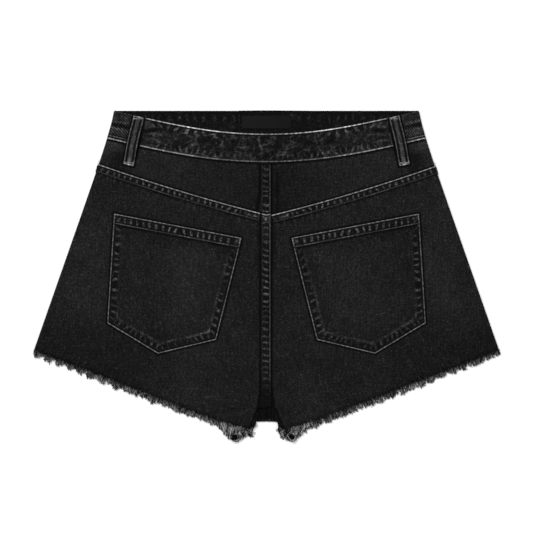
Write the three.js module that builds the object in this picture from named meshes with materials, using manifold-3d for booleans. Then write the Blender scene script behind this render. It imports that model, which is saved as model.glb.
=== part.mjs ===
// Denim cut-off shorts, laid flat on their front with the back up.
//
// Millimetres. +X runs to the right as one looks down on the back, +Y towards the waist, +Z up off the surface.
// Places on the cloth are given by two numbers: "across", the distance from the centre line on the piece's own
// side, and "down", the distance below the waist's top edge. hand is -1 for the left side and +1 for the right.
import * as THREE from "three";
import { mergeVertices } from "three/addons/utils/BufferGeometryUtils.js";
import Module from "manifold-3d";

const wasm = await Module();
wasm.setup();

// Cloth
const CLOTH = 1.0; // one layer of denim
const BAND = 2.0; // the waistband, two layers
const GAP = 0.3; // between pieces, at the seams and where one lies on another
const FELL = 0.9; // how far a lapped seam stands up
const FELL_WIDTH = 9.4; // yoke seam, between its two rows of stitches
const FELL_STEP = 0.9; // the slope beside a lapped seam

// Outline, from above
const HALF_LENGTH = 190.5; // half the length from the waist's top edge to the ends of the fringe
const WAIST_HALF = 174.8;
const FLARE = 0.35; // the sides' slope
const HIP_EASE = 4.2; // how much less the sides flare over the first few centimetres
const HIP_EASE_RUN = 25;
const BAND_HEIGHT = 32;
const BACK_TOP = { centre: 27.0, fall: 1.155e-3, ease: 9.56e-9 }; // the back's top edge dips at the centre
const BAND_LOW = { centre: 59.2, fall: 9.8e-4, ease: 4.94e-9 }; // and so does the band's lower edge
const YOKE_SEAM = {
  left: { point: 119.2, slope: 0.254, curve: 0.00024 },
  right: { point: 121.0, slope: 0.243, curve: 0.00028 },
};
const CENTRE_SEAM = { left: 6.4, right: 5.1 }; // how far the raised seam reaches to each side
const CENTRE_SEAM_WIDTH = CENTRE_SEAM.left + CENTRE_SEAM.right;
const CROTCH = 356.7; // the fold between the legs
const CROTCH_POINT = 341; // where the seams meet, on top of that fold
const CROTCH_RUN = 3;
const LEG_GAP = 8.9; // from the centre to the leg's inner fold, at the crotch point
const LEG_SPREAD = 0.34;
const LEG_CURVE = 0.0025;
const HEM_INNER = { across: 19.1, down: 366.3 };
const HEM_SIDE = { across: 266.8, down: 274.9 };
const HEM_SLOPE = 0.385;
const HEM_EASE = 4;
const HEM_EASE_RUN = 20;

// Heights off the surface
const REST_HEIGHT = 3.0; // top of the back, where it lies on the front
const FOLD_RADIUS = 3.0; // outer radius of the folds at the sides and between the legs
const BAND_EXTRA = BAND - CLOTH;
const SIDE_RUN = 24; // how far in the cloth takes to settle
const CROTCH_LIFT_RUN = 38;
const VALLEY = { depth: 1.9, run: 45, edge: 4 }; // the centre seam sinks between the legs
const RIPPLE = { height: 0.35, across: 21, down: 33, acrossSlow: 58, downSlow: 47 }; // the cloth's gentle waves
const EDGE_ANGLE = 3; // degrees short of the fold's outermost line

// Closure at the centre front, on the underside
const BUTTON = { down: 16, radius: 8.5, height: 1.6, rim: 0.5, shank: 2.4 };
const BUTTON_LIFT = 2.2;
const BUTTON_FLAT = 9.5; // the band lies level over the button this far out
const BUTTON_RUN = 34; // and is down on the surface this far out
const STATION = 8; // spacing of the columns that all the closure's layers share
const STATIONS_START = 24; // further in than this, they make room for the legs' folds
const STATIONS_END = 48;
const OVERLAP_END = 24; // the outer half ends this far past the centre
const UNDERLAP_END = 32; // and the inner half this far past it the other way
const STACK_GAP = 0.45; // between layers that slope
const BAND_STACK = BAND + STACK_GAP;
const CLOTH_STACK = CLOTH + STACK_GAP;
const LAP_RUN = 60; // the inner half is down on the surface this far out
const FLY = { length: 150, fade: 26, curve: 28, lift: 1.0, half: 26, halfRun: 70, liftRun: 60 };
const CLOSURE = { lift: 5.1, half: 56, down: 33, downRun: 34 }; // the back rides over the closure's layers

// Pocket corners
const POCKET = {
  topOuter: { across: 174.6, down: 118.0 },
  topInner: { across: 28.5, down: 145.9 },
  lowInner: { across: 57.8, down: 262.5 },
  tip: { across: 124.3, down: 278.4 },
  lowOuter: { across: 182.4, down: 243.4 },
};
const POCKET_TIP_SHARE = 0.52; // how far along the lower edge the tip is
const POCKET_HEM = { share: 0.097, raise: 0.7 }; // the folded band at the pocket's mouth
const POCKET_GAPE = 0.8;

// Belt loops, tacked down at both ends and arched between
const LOOP = { topAcross: 146.2, lowAcross: 158.2, lowDown: 62.5, width: 12, thickness: 1.6 };
const LOOP_ARCH = { height: 6.8, tack: 6, roundness: 0.6 };
const LOOP_STEP_DOWN = { from: 0.62, to: 0.9 }; // where its foot comes off the band onto the yoke

// Label inside the front waistband
const LABEL = { half: 28.5, top: 6, low: 21.3, thickness: 1.0 };

// Frayed hems: a strip with locks of thread, which splay where the hem ends between the legs
const FRAY = { strip: 2.0, stripThickness: 0.9, gap: 0.33, backCount: 60, frontCount: 40 };
const LOCK = { length: 12, least: 0.72, spread: 0.5, root: 0.4, tip: 0.14, wave: 0.22, waves: 31, curl: 0.16 };
const SPLAY = { turn: 0.8, run: 14 };

const COLOURS = {
  denim: 0x1f1f20,
  label: 0x232325,
  fray: 0x59595a,
  metal: 0x3a3a3c,
};

function material(colour, roughness, metalness = 0) {
  return new THREE.MeshStandardMaterial({ color: colour, roughness, metalness });
}

const denim = material(COLOURS.denim, 0.92);
const frayed = material(COLOURS.fray, 0.95);
const satin = material(COLOURS.label, 0.6);
const metal = material(COLOURS.metal, 0.4, 0.9);

const lerp = THREE.MathUtils.lerp;
const smooth = (low, high, x) => THREE.MathUtils.smoothstep(x, low, high);
const fade = (low, high, x) => 1 - smooth(low, high, x);
const bell = (x, half) => Math.exp(-((x / half) ** 2));

// The outline's lines

function sideAt(down) {
  return WAIST_HALF + FLARE * down - HIP_EASE * (1 - Math.exp(-down / HIP_EASE_RUN));
}

function dipAt({ centre, fall, ease }, across) {
  return centre - fall * across ** 2 + ease * across ** 4;
}

const backTopAt = (across) => dipAt(BACK_TOP, across);
const bandLowAt = (across) => dipAt(BAND_LOW, across);

const yokeSeam = (hand) => (hand < 0 ? YOKE_SEAM.left : YOKE_SEAM.right);

function yokeAt(hand) {
  const { point, slope, curve } = yokeSeam(hand);
  return (across) => point - slope * Math.abs(across) - curve * across ** 2;
}

function hemAt(across) {
  const a = Math.max(across, HEM_INNER.across);
  const line = HEM_SIDE.down + HEM_SLOPE * (HEM_SIDE.across - a);
  return line - HEM_EASE * Math.exp(-(a - HEM_INNER.across) / HEM_EASE_RUN);
}

// The leg's inner fold, below the crotch point
function legAt(down) {
  const below = Math.max(0, down - CROTCH_POINT);
  return LEG_GAP + LEG_SPREAD * below + LEG_CURVE * below * below;
}

// 0 above the crotch point, 1 where the two legs are apart
const apart = (down) => smooth(CROTCH_POINT - CROTCH_RUN, CROTCH_POINT + 1, down);

// Heights

// 1 at a fold's inner edge, falling away from it
function sideShare(across, down) {
  const inward = Math.max(0, sideAt(down) - FOLD_RADIUS - Math.abs(across));
  return Math.exp(-inward / SIDE_RUN);
}

function crotchShare(across, down) {
  const outward = Math.max(0, Math.abs(across) - legAt(down) - FOLD_RADIUS);
  const above = Math.max(0, CROTCH_POINT - down);
  return Math.exp(-Math.hypot(outward, above) / CROTCH_LIFT_RUN);
}

// Top of one layer of cloth on the back
function backHeight(across, down) {
  const a = Math.abs(across);
  const loose = (1 - sideShare(a, down)) * (1 - crotchShare(a, down));
  const folded = (2 * FOLD_RADIUS - REST_HEIGHT) * (1 - loose);
  const onClosure = bell(a, CLOSURE.half) * fade(CLOSURE.down, CLOSURE.down + CLOSURE.downRun, down);
  const onFly = fade(FLY.half, FLY.halfRun, a) * fade(FLY.length, FLY.length + FLY.liftRun, down);
  const lift = Math.max(CLOSURE.lift * onClosure, FLY.lift * onFly);
  const waveOut = Math.sin(a / RIPPLE.across + down / RIPPLE.downSlow);
  const waveDown = Math.sin(down / RIPPLE.down - a / RIPPLE.acrossSlow);
  const ripple = RIPPLE.height * (1 + waveOut * waveDown);
  const inValley = smooth(CROTCH_POINT - VALLEY.run, CROTCH_POINT, down) * (1 - apart(down));
  const seamHalf = CENTRE_SEAM_WIDTH / 2;
  const valley = VALLEY.depth * inValley * fade(seamHalf, seamHalf + VALLEY.edge, a);
  return REST_HEIGHT + folded + loose * (lift + ripple) - valley;
}

// Underside of the front, raised only over the button
function frontHeight(across, down) {
  return BUTTON_LIFT * fade(BUTTON_FLAT, BUTTON_RUN, Math.hypot(across, down - BUTTON.down));
}

// How far the closure's inner half lies above its outer half, on the right side
function lapLift(across, down, stack) {
  return stack * fade(OVERLAP_END + 1, LAP_RUN, across) * fade(FLY.length, FLY.length + FLY.fade, down);
}

// Solids

function place(hand, across, down, height) {
  return new THREE.Vector3(hand * across, HALF_LENGTH - down, height);
}

function solidOf(geometry) {
  const bare = geometry.clone();
  bare.deleteAttribute("normal");
  bare.deleteAttribute("uv");
  const merged = mergeVertices(bare, 1e-4);
  return new wasm.Manifold(
    new wasm.Mesh({
      numProp: 3,
      vertProperties: merged.attributes.position.array,
      triVerts: new Uint32Array(merged.index.array),
    }),
  );
}

function geometryOf(solid) {
  const made = solid.getMesh();
  const geometry = new THREE.BufferGeometry();
  geometry.setAttribute("position", new THREE.BufferAttribute(new Float32Array(made.vertProperties), 3));
  geometry.setIndex(new THREE.BufferAttribute(new Uint32Array(made.triVerts), 1));
  geometry.computeVertexNormals();
  return geometry;
}

const TURNED = 0.5; // cloth stands up where its normal's z is less than this

// Normals of a grid of points, all on the side that faces towards
function gridNormals(points, towards) {
  const rows = points.length;
  const columns = points[0].length;
  const along = new THREE.Vector3();
  const across = new THREE.Vector3();
  const normals = points.map((row, i) =>
    row.map((_, j) => {
      along.subVectors(points[Math.min(i + 1, rows - 1)][j], points[Math.max(i - 1, 0)][j]);
      across.subVectors(points[i][Math.min(j + 1, columns - 1)], points[i][Math.max(j - 1, 0)]);
      return new THREE.Vector3().crossVectors(along, across).normalize();
    }),
  );
  if (normals[rows >> 1][columns >> 1].dot(towards) < 0) {
    normals.forEach((row) => row.forEach((n) => n.negate()));
  }
  // Edges are cut square to the outline, so that neighbours stay parallel at a seam
  for (const row of normals) {
    for (const n of [row[0], row[columns - 1]]) {
      if (Math.abs(n.z) < TURNED) n.z = 0;
      else n.x = 0;
      n.normalize();
    }
  }
  for (const n of [...normals[0], ...normals[rows - 1]]) {
    n.y = 0;
    n.normalize();
  }
  return normals;
}

// A wall of cloth. points is its plain outer face, in rows. raises moves each outer point further out.
function clothWall(points, thickness, towards, raises) {
  const rows = points.length;
  const columns = points[0].length;
  const normals = gridNormals(points, towards);
  const corners = [];
  const outer = (i, j) => i * columns + j;
  const inner = (i, j) => rows * columns + i * columns + j;
  for (const shift of [0, -thickness]) {
    points.forEach((row, i) =>
      row.forEach((p, j) => {
        const out = shift === 0 && raises ? raises[i][j] : shift;
        corners.push(p.x + normals[i][j].x * out, p.y + normals[i][j].y * out, p.z + normals[i][j].z * out);
      }),
    );
  }
  const faces = [];
  const quad = (a, b, c, d) => faces.push(a, b, c, a, c, d);
  for (let i = 0; i < rows - 1; i++) {
    for (let j = 0; j < columns - 1; j++) {
      quad(outer(i, j), outer(i + 1, j), outer(i + 1, j + 1), outer(i, j + 1));
      quad(inner(i, j), inner(i, j + 1), inner(i + 1, j + 1), inner(i + 1, j));
    }
  }
  for (let i = 0; i < rows - 1; i++) {
    quad(outer(i, 0), inner(i, 0), inner(i + 1, 0), outer(i + 1, 0));
    quad(outer(i, columns - 1), outer(i + 1, columns - 1), inner(i + 1, columns - 1), inner(i, columns - 1));
  }
  for (let j = 0; j < columns - 1; j++) {
    quad(outer(0, j), outer(0, j + 1), inner(0, j + 1), inner(0, j));
    quad(outer(rows - 1, j), inner(rows - 1, j), inner(rows - 1, j + 1), outer(rows - 1, j + 1));
  }
  const turn = new THREE.Vector3().crossVectors(
    new THREE.Vector3().subVectors(points[1][0], points[0][0]),
    new THREE.Vector3().subVectors(points[0][1], points[0][0]),
  );
  if (turn.dot(normals[0][0]) < 0) {
    for (let k = 0; k < faces.length; k += 3) {
      [faces[k + 1], faces[k + 2]] = [faces[k + 2], faces[k + 1]];
    }
  }
  const geometry = new THREE.BufferGeometry();
  geometry.setAttribute("position", new THREE.Float32BufferAttribute(corners, 3));
  geometry.setIndex(faces);
  geometry.computeVertexNormals();
  return geometry;
}

const UP = new THREE.Vector3(0, 0, 1);
const DOWN = new THREE.Vector3(0, 0, -1);

// Columns of a panel, from its inner edge to its side. "in" is a distance from the inner edge, "share" a share
// of the way to the side fold, and "roll" an angle round a fold: 90 degrees where the cloth lies level.
function foldColumns(angles, key) {
  return angles.map((angle) => ({ [key]: THREE.MathUtils.degToRad(angle) }));
}

function shareColumns(count) {
  return Array.from({ length: count }, (_, k) => ({ share: (k + 1) / (count + 1) }));
}

const SIDE_FOLD = foldColumns([90, 66, 42, 20, EDGE_ANGLE], "sideRoll");
const LEG_FOLD = foldColumns([EDGE_ANGLE, 24, 48, 70, 90], "legRoll");

// Where a column crosses a row. Each one's place depends on the other's, so it is found in a few steps.
const FIRST_GUESS = { across: 100, down: 100 };
const PLACE_STEPS = 14;

function findPlace(column, row, { top, bottom, inner, from, radius }) {
  let { across, down } = FIRST_GUESS;
  for (let step = 0; step < PLACE_STEPS; step++) {
    const start = top(across) + row.below;
    down = lerp(start, bottom(across), row.share);
    const edge = inner(down);
    const end = sideAt(down) - radius;
    if (column.sideRoll !== undefined) across = end + radius * Math.cos(column.sideRoll);
    else if (column.legRoll !== undefined) across = edge + radius * (1 - Math.cos(column.legRoll));
    else if (column.in !== undefined) across = edge + column.in;
    else if (column.station !== undefined) across = column.station(edge, down);
    else across = lerp(from(down), end, column.share);
  }
  return { across, down };
}

// How far a column drops from the layer's height as it goes round a fold
function rollDrop(column, down, radius, legs) {
  if (column.sideRoll !== undefined) return radius * (1 - Math.sin(column.sideRoll));
  if (column.legRoll !== undefined) return legs(down) * radius * (1 - Math.sin(column.legRoll));
  return 0;
}

// A panel's points and raises. height gives the layer's face, and way is +1 for the back and -1 for the front.
function layOut(panel) {
  const { hand, rows, columns, radius, height, way, legs = () => 0, raise = () => 0 } = panel;
  const points = [];
  const raises = [];
  for (const row of rows) {
    const spots = columns.map((column) => ({ column, ...findPlace(column, row, panel) }));
    points.push(
      spots.map(({ column, across, down }) => {
        const drop = rollDrop(column, down, radius, legs);
        return place(hand, across, down, height(across, down) - way * drop);
      }),
    );
    raises.push(spots.map(({ across, down }) => raise(across, down)));
  }
  return { points, raises };
}

const evenRows = (count) => Array.from({ length: count + 1 }, (_, k) => ({ below: 0, share: k / count }));

// The back's lower panels. The left one laps over the right one at the centre and carries the raised seam.
const centreLap = (hand) => (hand < 0 ? -CENTRE_SEAM.right : CENTRE_SEAM.right + GAP);
const centreEdge = (hand) => (down) => lerp(centreLap(hand), legAt(down), apart(down));

function centreSeamColumns(hand) {
  const width = CENTRE_SEAM_WIDTH;
  if (hand > 0) return [{ in: width / 2 }, { in: width }];
  return [{ in: width / 2 }, { in: width }, { in: width + FELL_STEP }, { in: 1.6 * width }];
}

function centreSeamRaise(hand, across, down) {
  if (hand > 0) return 0;
  return FELL * fade(CENTRE_SEAM.left, CENTRE_SEAM.left + FELL_STEP, across) * (1 - apart(down));
}

// The back's even columns are the same in its band, yoke and panel. They start at the distance backFrom, which
// makes room for the legs' folds lower down.
const BACK_EVEN = shareColumns(12);
const backFrom = (down) => lerp(24, 40, smooth(230, 330, down));
const backColumns = (hand) => [...LEG_FOLD, ...centreSeamColumns(hand), ...BACK_EVEN, ...SIDE_FOLD];

// Rows of a back panel, closer together at the yoke seam and at the crotch
function backRows(hand) {
  const { point } = yokeSeam(hand);
  const below = FELL_WIDTH + FELL_STEP;
  const reach = HEM_INNER.down - point - below;
  const shareAt = (down) => (down - point - below) / reach;
  const even = [0, 0.1, 0.2, 0.3, 0.4, 0.5, 0.61, 0.72].map((share) => ({ below, share }));
  const crotch = [322, 331, 338, 340, 342, 349, 357].map((down) => ({ below, share: shareAt(down) }));
  return [{ below: 0, share: 0 }, { below: FELL_WIDTH, share: 0 }, ...even, ...crotch, { below, share: 1 }];
}

function backPanel(hand) {
  const { points, raises } = layOut({
    hand,
    top: yokeAt(hand),
    bottom: hemAt,
    inner: centreEdge(hand),
    from: backFrom,
    rows: backRows(hand),
    columns: backColumns(hand),
    radius: FOLD_RADIUS,
    height: backHeight,
    way: 1,
    legs: apart,
    raise: (across, down) => {
      const below = down - yokeAt(hand)(across);
      const onYokeSeam = below < FELL_WIDTH + FELL_STEP / 2 ? FELL : 0;
      return Math.max(onYokeSeam, centreSeamRaise(hand, across, down));
    },
  });
  return clothWall(points, CLOTH, UP, raises);
}

function yoke(hand) {
  const { points, raises } = layOut({
    hand,
    top: (across) => bandLowAt(across) + GAP,
    bottom: (across) => yokeAt(hand)(across) - GAP,
    inner: () => centreLap(hand),
    from: backFrom,
    rows: evenRows(5),
    columns: [{ in: 0 }, ...centreSeamColumns(hand), ...BACK_EVEN, ...SIDE_FOLD],
    radius: FOLD_RADIUS,
    height: backHeight,
    way: 1,
    raise: (across) => centreSeamRaise(hand, across, 0),
  });
  return clothWall(points, CLOTH, UP, raises);
}

// The back waistband's creases, one on each side of a belt loop
const BAND_CREASES = [
  { across: 170, level: 15.5, slope: 0, half: 11, width: 3.2, depth: 0.45 },
  { across: 131, level: 13, slope: 0.25, half: 9, width: 3.4, depth: 0.4 },
];

function bandCrease(across, down) {
  const level = down - backTopAt(across);
  let raise = 0;
  for (const crease of BAND_CREASES) {
    const out = across - crease.across;
    const off = level - crease.level - crease.slope * out;
    raise -= crease.depth * bell(out, crease.half) * bell(off, crease.width);
  }
  return raise;
}

const BAND_FOLD = FOLD_RADIUS + BAND_EXTRA / 2;

function waistbandBack() {
  const half = (hand) =>
    layOut({
      hand,
      top: backTopAt,
      bottom: bandLowAt,
      inner: () => 0,
      from: backFrom,
      rows: evenRows(6),
      columns: [...(hand > 0 ? [{ in: 0 }] : []), { in: 12 }, ...BACK_EVEN, ...SIDE_FOLD],
      radius: BAND_FOLD,
      height: (across, down) => backHeight(across, down) + BAND_EXTRA,
      way: 1,
      raise: bandCrease,
    });
  const left = half(-1);
  const right = half(1);
  const join = (key) => left[key].map((row, i) => [...[...row].reverse(), ...right[key][i]]);
  return clothWall(join("points"), BAND, UP, join("raises"));
}

// The closure's layers share their columns, so that they stay parallel over the button. Once the closure has
// ended, those inside STATIONS_START spread out evenly between the leg's fold and the first that stays.
const BELOW_CLOSURE = { from: 62, to: 110 };

function stationColumns(end) {
  const moving = (STATIONS_START - end) / STATION - 1;
  const columns = [];
  for (let k = 1; k <= moving; k++) {
    const fixed = end + STATION * k;
    const even = (edge) => lerp(edge + FOLD_RADIUS, STATIONS_START, k / (moving + 1));
    columns.push({
      station: (edge, down) => lerp(fixed, even(edge), smooth(BELOW_CLOSURE.from, BELOW_CLOSURE.to, down)),
    });
  }
  for (let x = STATIONS_START; x <= STATIONS_END; x += STATION) {
    columns.push({ station: () => x });
  }
  return columns;
}

const frontFrom = () => STATIONS_END + 6;

function waistbandFront(hand) {
  const end = hand < 0 ? -OVERLAP_END : -UNDERLAP_END;
  const lift = (across, down) => (hand < 0 ? 0 : lapLift(across, down, BAND_STACK));
  const { points } = layOut({
    hand,
    top: () => 0,
    bottom: () => BAND_HEIGHT,
    inner: () => end,
    from: frontFrom,
    rows: evenRows(6),
    columns: [{ in: 0 }, ...stationColumns(end), ...shareColumns(5), ...SIDE_FOLD],
    radius: BAND_FOLD,
    height: (across, down) => frontHeight(across, down) + lift(across, down),
    way: -1,
  });
  return clothWall(points, BAND, DOWN);
}

// The front's panels. The right one runs on under the left one as far as the fly's stitches.
function frontEdge(hand) {
  const end = hand < 0 ? GAP / 2 : -UNDERLAP_END;
  return (down) => {
    const seam = lerp(end, GAP / 2, smooth(FLY.length - FLY.curve, FLY.length, down));
    return down < CROTCH - 1 ? seam : legAt(down);
  };
}

const CROTCH_FOLD = 1.25; // outer radius of the fold between the legs

function frontRows() {
  const top = BAND_HEIGHT + GAP;
  const shareAt = (down) => (down - top) / (HEM_INNER.down - top);
  const downs = [top, 40, 50, 62, 90, 122, 136, 150, 163, 176, 220, 265, 310];
  const crotch = [CROTCH - CROTCH_FOLD, CROTCH + 0.1, HEM_INNER.down];
  return [...downs, ...crotch].map((down) => ({ below: 0, share: shareAt(down) }));
}

function frontColumns(hand) {
  const end = hand < 0 ? 0 : -UNDERLAP_END;
  return [...LEG_FOLD, ...stationColumns(end), ...shareColumns(5), ...SIDE_FOLD];
}

function frontPanel(hand) {
  const lift = (across, down) => (hand < 0 ? 0 : lapLift(across, down, CLOTH_STACK));
  const { points } = layOut({
    hand,
    top: () => BAND_HEIGHT + GAP,
    bottom: hemAt,
    inner: frontEdge(hand),
    from: frontFrom,
    rows: frontRows(),
    columns: frontColumns(hand),
    radius: FOLD_RADIUS,
    height: (across, down) => frontHeight(across, down) + lift(across, down),
    way: -1,
    legs: (down) => (down < CROTCH - 1 ? 0 : 1),
  });
  return geometryOf(solidOf(clothWall(points, CLOTH, DOWN)).add(solidOf(crotchFlap(hand))));
}

// Between the legs the front folds up to the back, and its end is tucked in below the crotch point
const FLAP_TUCK = 5;

function crotchFlap(hand) {
  const foldCentre = CROTCH - CROTCH_FOLD;
  const path = [{ down: foldCentre - 3, height: 0 }];
  for (const angle of [-90, -54, -18, 18, 54, 90]) {
    const turn = THREE.MathUtils.degToRad(angle);
    path.push({
      down: foldCentre + CROTCH_FOLD * Math.cos(turn),
      height: CROTCH_FOLD * (1 + Math.sin(turn)),
    });
  }
  for (const down of [349, CROTCH_POINT, CROTCH_POINT - FLAP_TUCK]) {
    path.push({ down, height: 2 * CROTCH_FOLD });
  }
  const rows = path.map(({ down, height }) => {
    const edge = legAt(down) - GAP;
    return [0, 0.34, 0.67, 1].map((share) => place(hand, lerp(GAP / 2, edge, share), down, height));
  });
  return clothWall(rows, CLOTH, new THREE.Vector3(0, -1, 0));
}

function pocket(hand) {
  const columns = [0, 0.04, 0.13, 0.26, 0.39, POCKET_TIP_SHARE, 0.64, 0.76, 0.88, 0.96, 1];
  const hem = POCKET_HEM.share;
  const rows = [0, hem - 0.005, hem + 0.005, 0.2, 0.33, 0.46, 0.59, 0.72, 0.85, 0.94, 1];
  const mix = (a, b, share) => ({ across: lerp(a.across, b.across, share), down: lerp(a.down, b.down, share) });
  const low = (share) =>
    share < POCKET_TIP_SHARE
      ? mix(POCKET.lowInner, POCKET.tip, share / POCKET_TIP_SHARE)
      : mix(POCKET.tip, POCKET.lowOuter, (share - POCKET_TIP_SHARE) / (1 - POCKET_TIP_SHARE));
  const points = [];
  const raises = [];
  for (const v of rows) {
    const spots = columns.map((u) => mix(mix(POCKET.topInner, POCKET.topOuter, u), low(u), v));
    points.push(
      spots.map(({ across, down }, k) => {
        const gape = POCKET_GAPE * Math.sin(Math.PI * columns[k]) * (1 - v) ** 4;
        return place(hand, across, down, backHeight(across, down) + GAP + CLOTH + gape);
      }),
    );
    raises.push(spots.map(() => (v < hem ? POCKET_HEM.raise : 0)));
  }
  return clothWall(points, CLOTH, UP, raises);
}

function beltLoop(hand) {
  const topDown = backTopAt(LOOP.topAcross) + GAP;
  const shares = [0, 0.06, 0.11, 0.18, 0.27, 0.38, 0.5, 0.62, 0.73, 0.82, 0.89, 0.94, 1];
  const length = Math.hypot(LOOP.lowAcross - LOOP.topAcross, LOOP.lowDown - topDown);
  const lean = (LOOP.lowAcross - LOOP.topAcross) / length;
  const upright = (LOOP.lowDown - topDown) / length;
  const tack = LOOP_ARCH.tack / length;
  const points = shares.map((t) => {
    const arch = LOOP_ARCH.height * Math.sin(Math.PI * smooth(tack, 1 - tack, t)) ** LOOP_ARCH.roundness;
    return [-0.5, 0, 0.5].map((side) => {
      const across = lerp(LOOP.topAcross, LOOP.lowAcross, t) + side * LOOP.width * upright;
      const down = lerp(topDown, LOOP.lowDown, t) - side * LOOP.width * lean;
      const under = backHeight(across, down) + BAND_EXTRA * fade(LOOP_STEP_DOWN.from, LOOP_STEP_DOWN.to, t);
      return place(hand, across, down, under + GAP + LOOP.thickness + arch);
    });
  });
  return clothWall(points, LOOP.thickness, UP);
}

function label() {
  const inside = [-3, -2, -1, 0, 1, 2, 3].map((k) => k * STATION);
  const across = [-LABEL.half, ...inside, LABEL.half];
  const downs = [0, 1, 2, 3].map((k) => lerp(LABEL.top, LABEL.low, k / 3));
  const points = downs.map((down) =>
    across.map((a) => {
      const under = frontHeight(a, down) + lapLift(a, down, BAND_STACK) + BAND;
      return place(1, a, down, under + STACK_GAP + LABEL.thickness);
    }),
  );
  return clothWall(points, LABEL.thickness, UP);
}

// Jeans button: a flat head against the surface with a short shank into the band
function button() {
  const { radius, height, rim, shank } = BUTTON;
  const top = BUTTON_LIFT - GAP;
  const profile = [
    [0, 0],
    [radius - 1.2, 0],
    [radius, rim],
    [radius, height - rim],
    [radius - 0.8, height],
    [shank, height],
    [shank, top],
    [0, top],
  ].map(([r, z]) => new THREE.Vector2(r, z));
  const geometry = new THREE.LatheGeometry(profile, 20);
  geometry.rotateX(Math.PI / 2);
  geometry.translate(0, HALF_LENGTH - BUTTON.down, 0);
  return geometry;
}

// A repeatable scatter from 0 to 1
const scatter = (seed) => THREE.MathUtils.euclideanModulo(Math.sin(seed * 12.9898) * 43758.5453, 1);

// A tapering lock of threads with three sides, along three points
function lock(points, radii) {
  const ways = [0, 1, 2].map((k) => (k * 2 * Math.PI) / 3 + Math.PI / 6);
  const run = new THREE.Vector3().subVectors(points[points.length - 1], points[0]).normalize();
  const side = new THREE.Vector3().crossVectors(run, UP).normalize();
  const over = new THREE.Vector3().crossVectors(side, run).normalize();
  const corners = [];
  points.forEach((p, k) =>
    ways.forEach((w) => {
      const corner = p
        .clone()
        .addScaledVector(side, Math.cos(w) * radii[k])
        .addScaledVector(over, Math.sin(w) * radii[k]);
      corners.push(corner.x, corner.y, corner.z);
    }),
  );
  const faces = [];
  for (let k = 0; k < points.length - 1; k++) {
    for (let j = 0; j < 3; j++) {
      const a = k * 3 + j;
      const b = k * 3 + ((j + 1) % 3);
      faces.push(a, b, b + 3, a, b + 3, a + 3);
    }
  }
  const last = (points.length - 1) * 3;
  faces.push(0, 2, 1, last, last + 1, last + 2);
  const geometry = new THREE.BufferGeometry();
  geometry.setAttribute("position", new THREE.Float32BufferAttribute(corners, 3));
  geometry.setIndex(faces);
  const solid = solidOf(geometry);
  if (solid.volume() > 0) return solid;
  for (let k = 0; k < faces.length; k += 3) {
    [faces[k + 1], faces[k + 2]] = [faces[k + 2], faces[k + 1]];
  }
  geometry.setIndex(faces);
  return solidOf(geometry);
}

// A frayed hem: a narrow strip just off the cloth's edge, and the locks that hang from it
function frayedHem(hand, layer) {
  const back = layer === "back";
  const height = back ? backHeight : () => 0;
  const way = back ? 1 : -1;
  const columns = back ? backColumns(hand) : frontColumns(hand);
  const { points } = layOut({
    hand,
    top: (across) => hemAt(across) + FRAY.gap,
    bottom: (across) => hemAt(across) + FRAY.gap + FRAY.strip,
    inner: back ? centreEdge(hand) : frontEdge(hand),
    from: back ? backFrom : frontFrom,
    rows: evenRows(1),
    columns: columns.slice(1, -1),
    radius: FOLD_RADIUS,
    height,
    way,
    legs: () => 1,
  });
  let solid = solidOf(clothWall(points, FRAY.stripThickness, back ? UP : DOWN));
  const count = back ? FRAY.backCount : FRAY.frontCount;
  const slope = Math.atan(HEM_SLOPE);
  const first = HEM_INNER.across + FOLD_RADIUS;
  const last = HEM_SIDE.across - FOLD_RADIUS;
  for (let k = 0; k < count; k++) {
    const seed = k + (back ? 0 : 200) + (hand > 0 ? 400 : 0);
    const share = (k + 0.5) / count;
    const across = lerp(first, last, share);
    const down = hemAt(across) + FRAY.gap + FRAY.strip / 2;
    const wave = LOCK.wave * Math.sin(share * LOCK.waves + hand) + 0.1 * (scatter(seed) - 0.5);
    const lean = slope + wave - SPLAY.turn * bell(across - first, SPLAY.run);
    const length = LOCK.length * (LOCK.least + LOCK.spread * scatter(seed + 0.37));
    const strip = back ? height(across, down) - FRAY.stripThickness : 0;
    const middle = strip + FRAY.stripThickness / 2 + 0.05;
    const end = back ? lerp(middle, 2.2, 0.6) : 0.7 + 0.5 * scatter(seed + 0.61);
    const curl = LOCK.curl * (scatter(seed + 0.83) - 0.5);
    const at = (reach, z, bend) =>
      place(hand, across + reach * Math.sin(lean + bend), down + reach * Math.cos(lean + bend), z);
    const half = lerp(middle, end, 0.5);
    const spine = [at(-0.3, middle, 0), at(length * 0.55, half, curl), at(length, end, -curl)];
    solid = solid.add(lock(spine, [LOCK.root, LOCK.root * 0.85, LOCK.tip]));
  }
  return geometryOf(solid);
}

// The garment

const shorts = new THREE.Group();

function addPiece(name, geometry, finish) {
  const mesh = new THREE.Mesh(geometry, finish);
  mesh.name = name;
  shorts.add(mesh);
}

addPiece("waistband_back", waistbandBack(), denim);
addPiece("label", label(), satin);
addPiece("button", button(), metal);

for (const [sideName, hand] of [
  ["left", -1],
  ["right", 1],
]) {
  addPiece("back_" + sideName, backPanel(hand), denim);
  addPiece("yoke_" + sideName, yoke(hand), denim);
  addPiece("front_" + sideName, frontPanel(hand), denim);
  addPiece("waistband_front_" + sideName, waistbandFront(hand), denim);
  addPiece("pocket_" + sideName, pocket(hand), denim);
  addPiece("belt_loop_" + sideName, beltLoop(hand), denim);
  addPiece("fray_back_" + sideName, frayedHem(hand, "back"), frayed);
  addPiece("fray_front_" + sideName, frayedHem(hand, "front"), frayed);
}

export default shorts;
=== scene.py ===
import math

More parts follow.
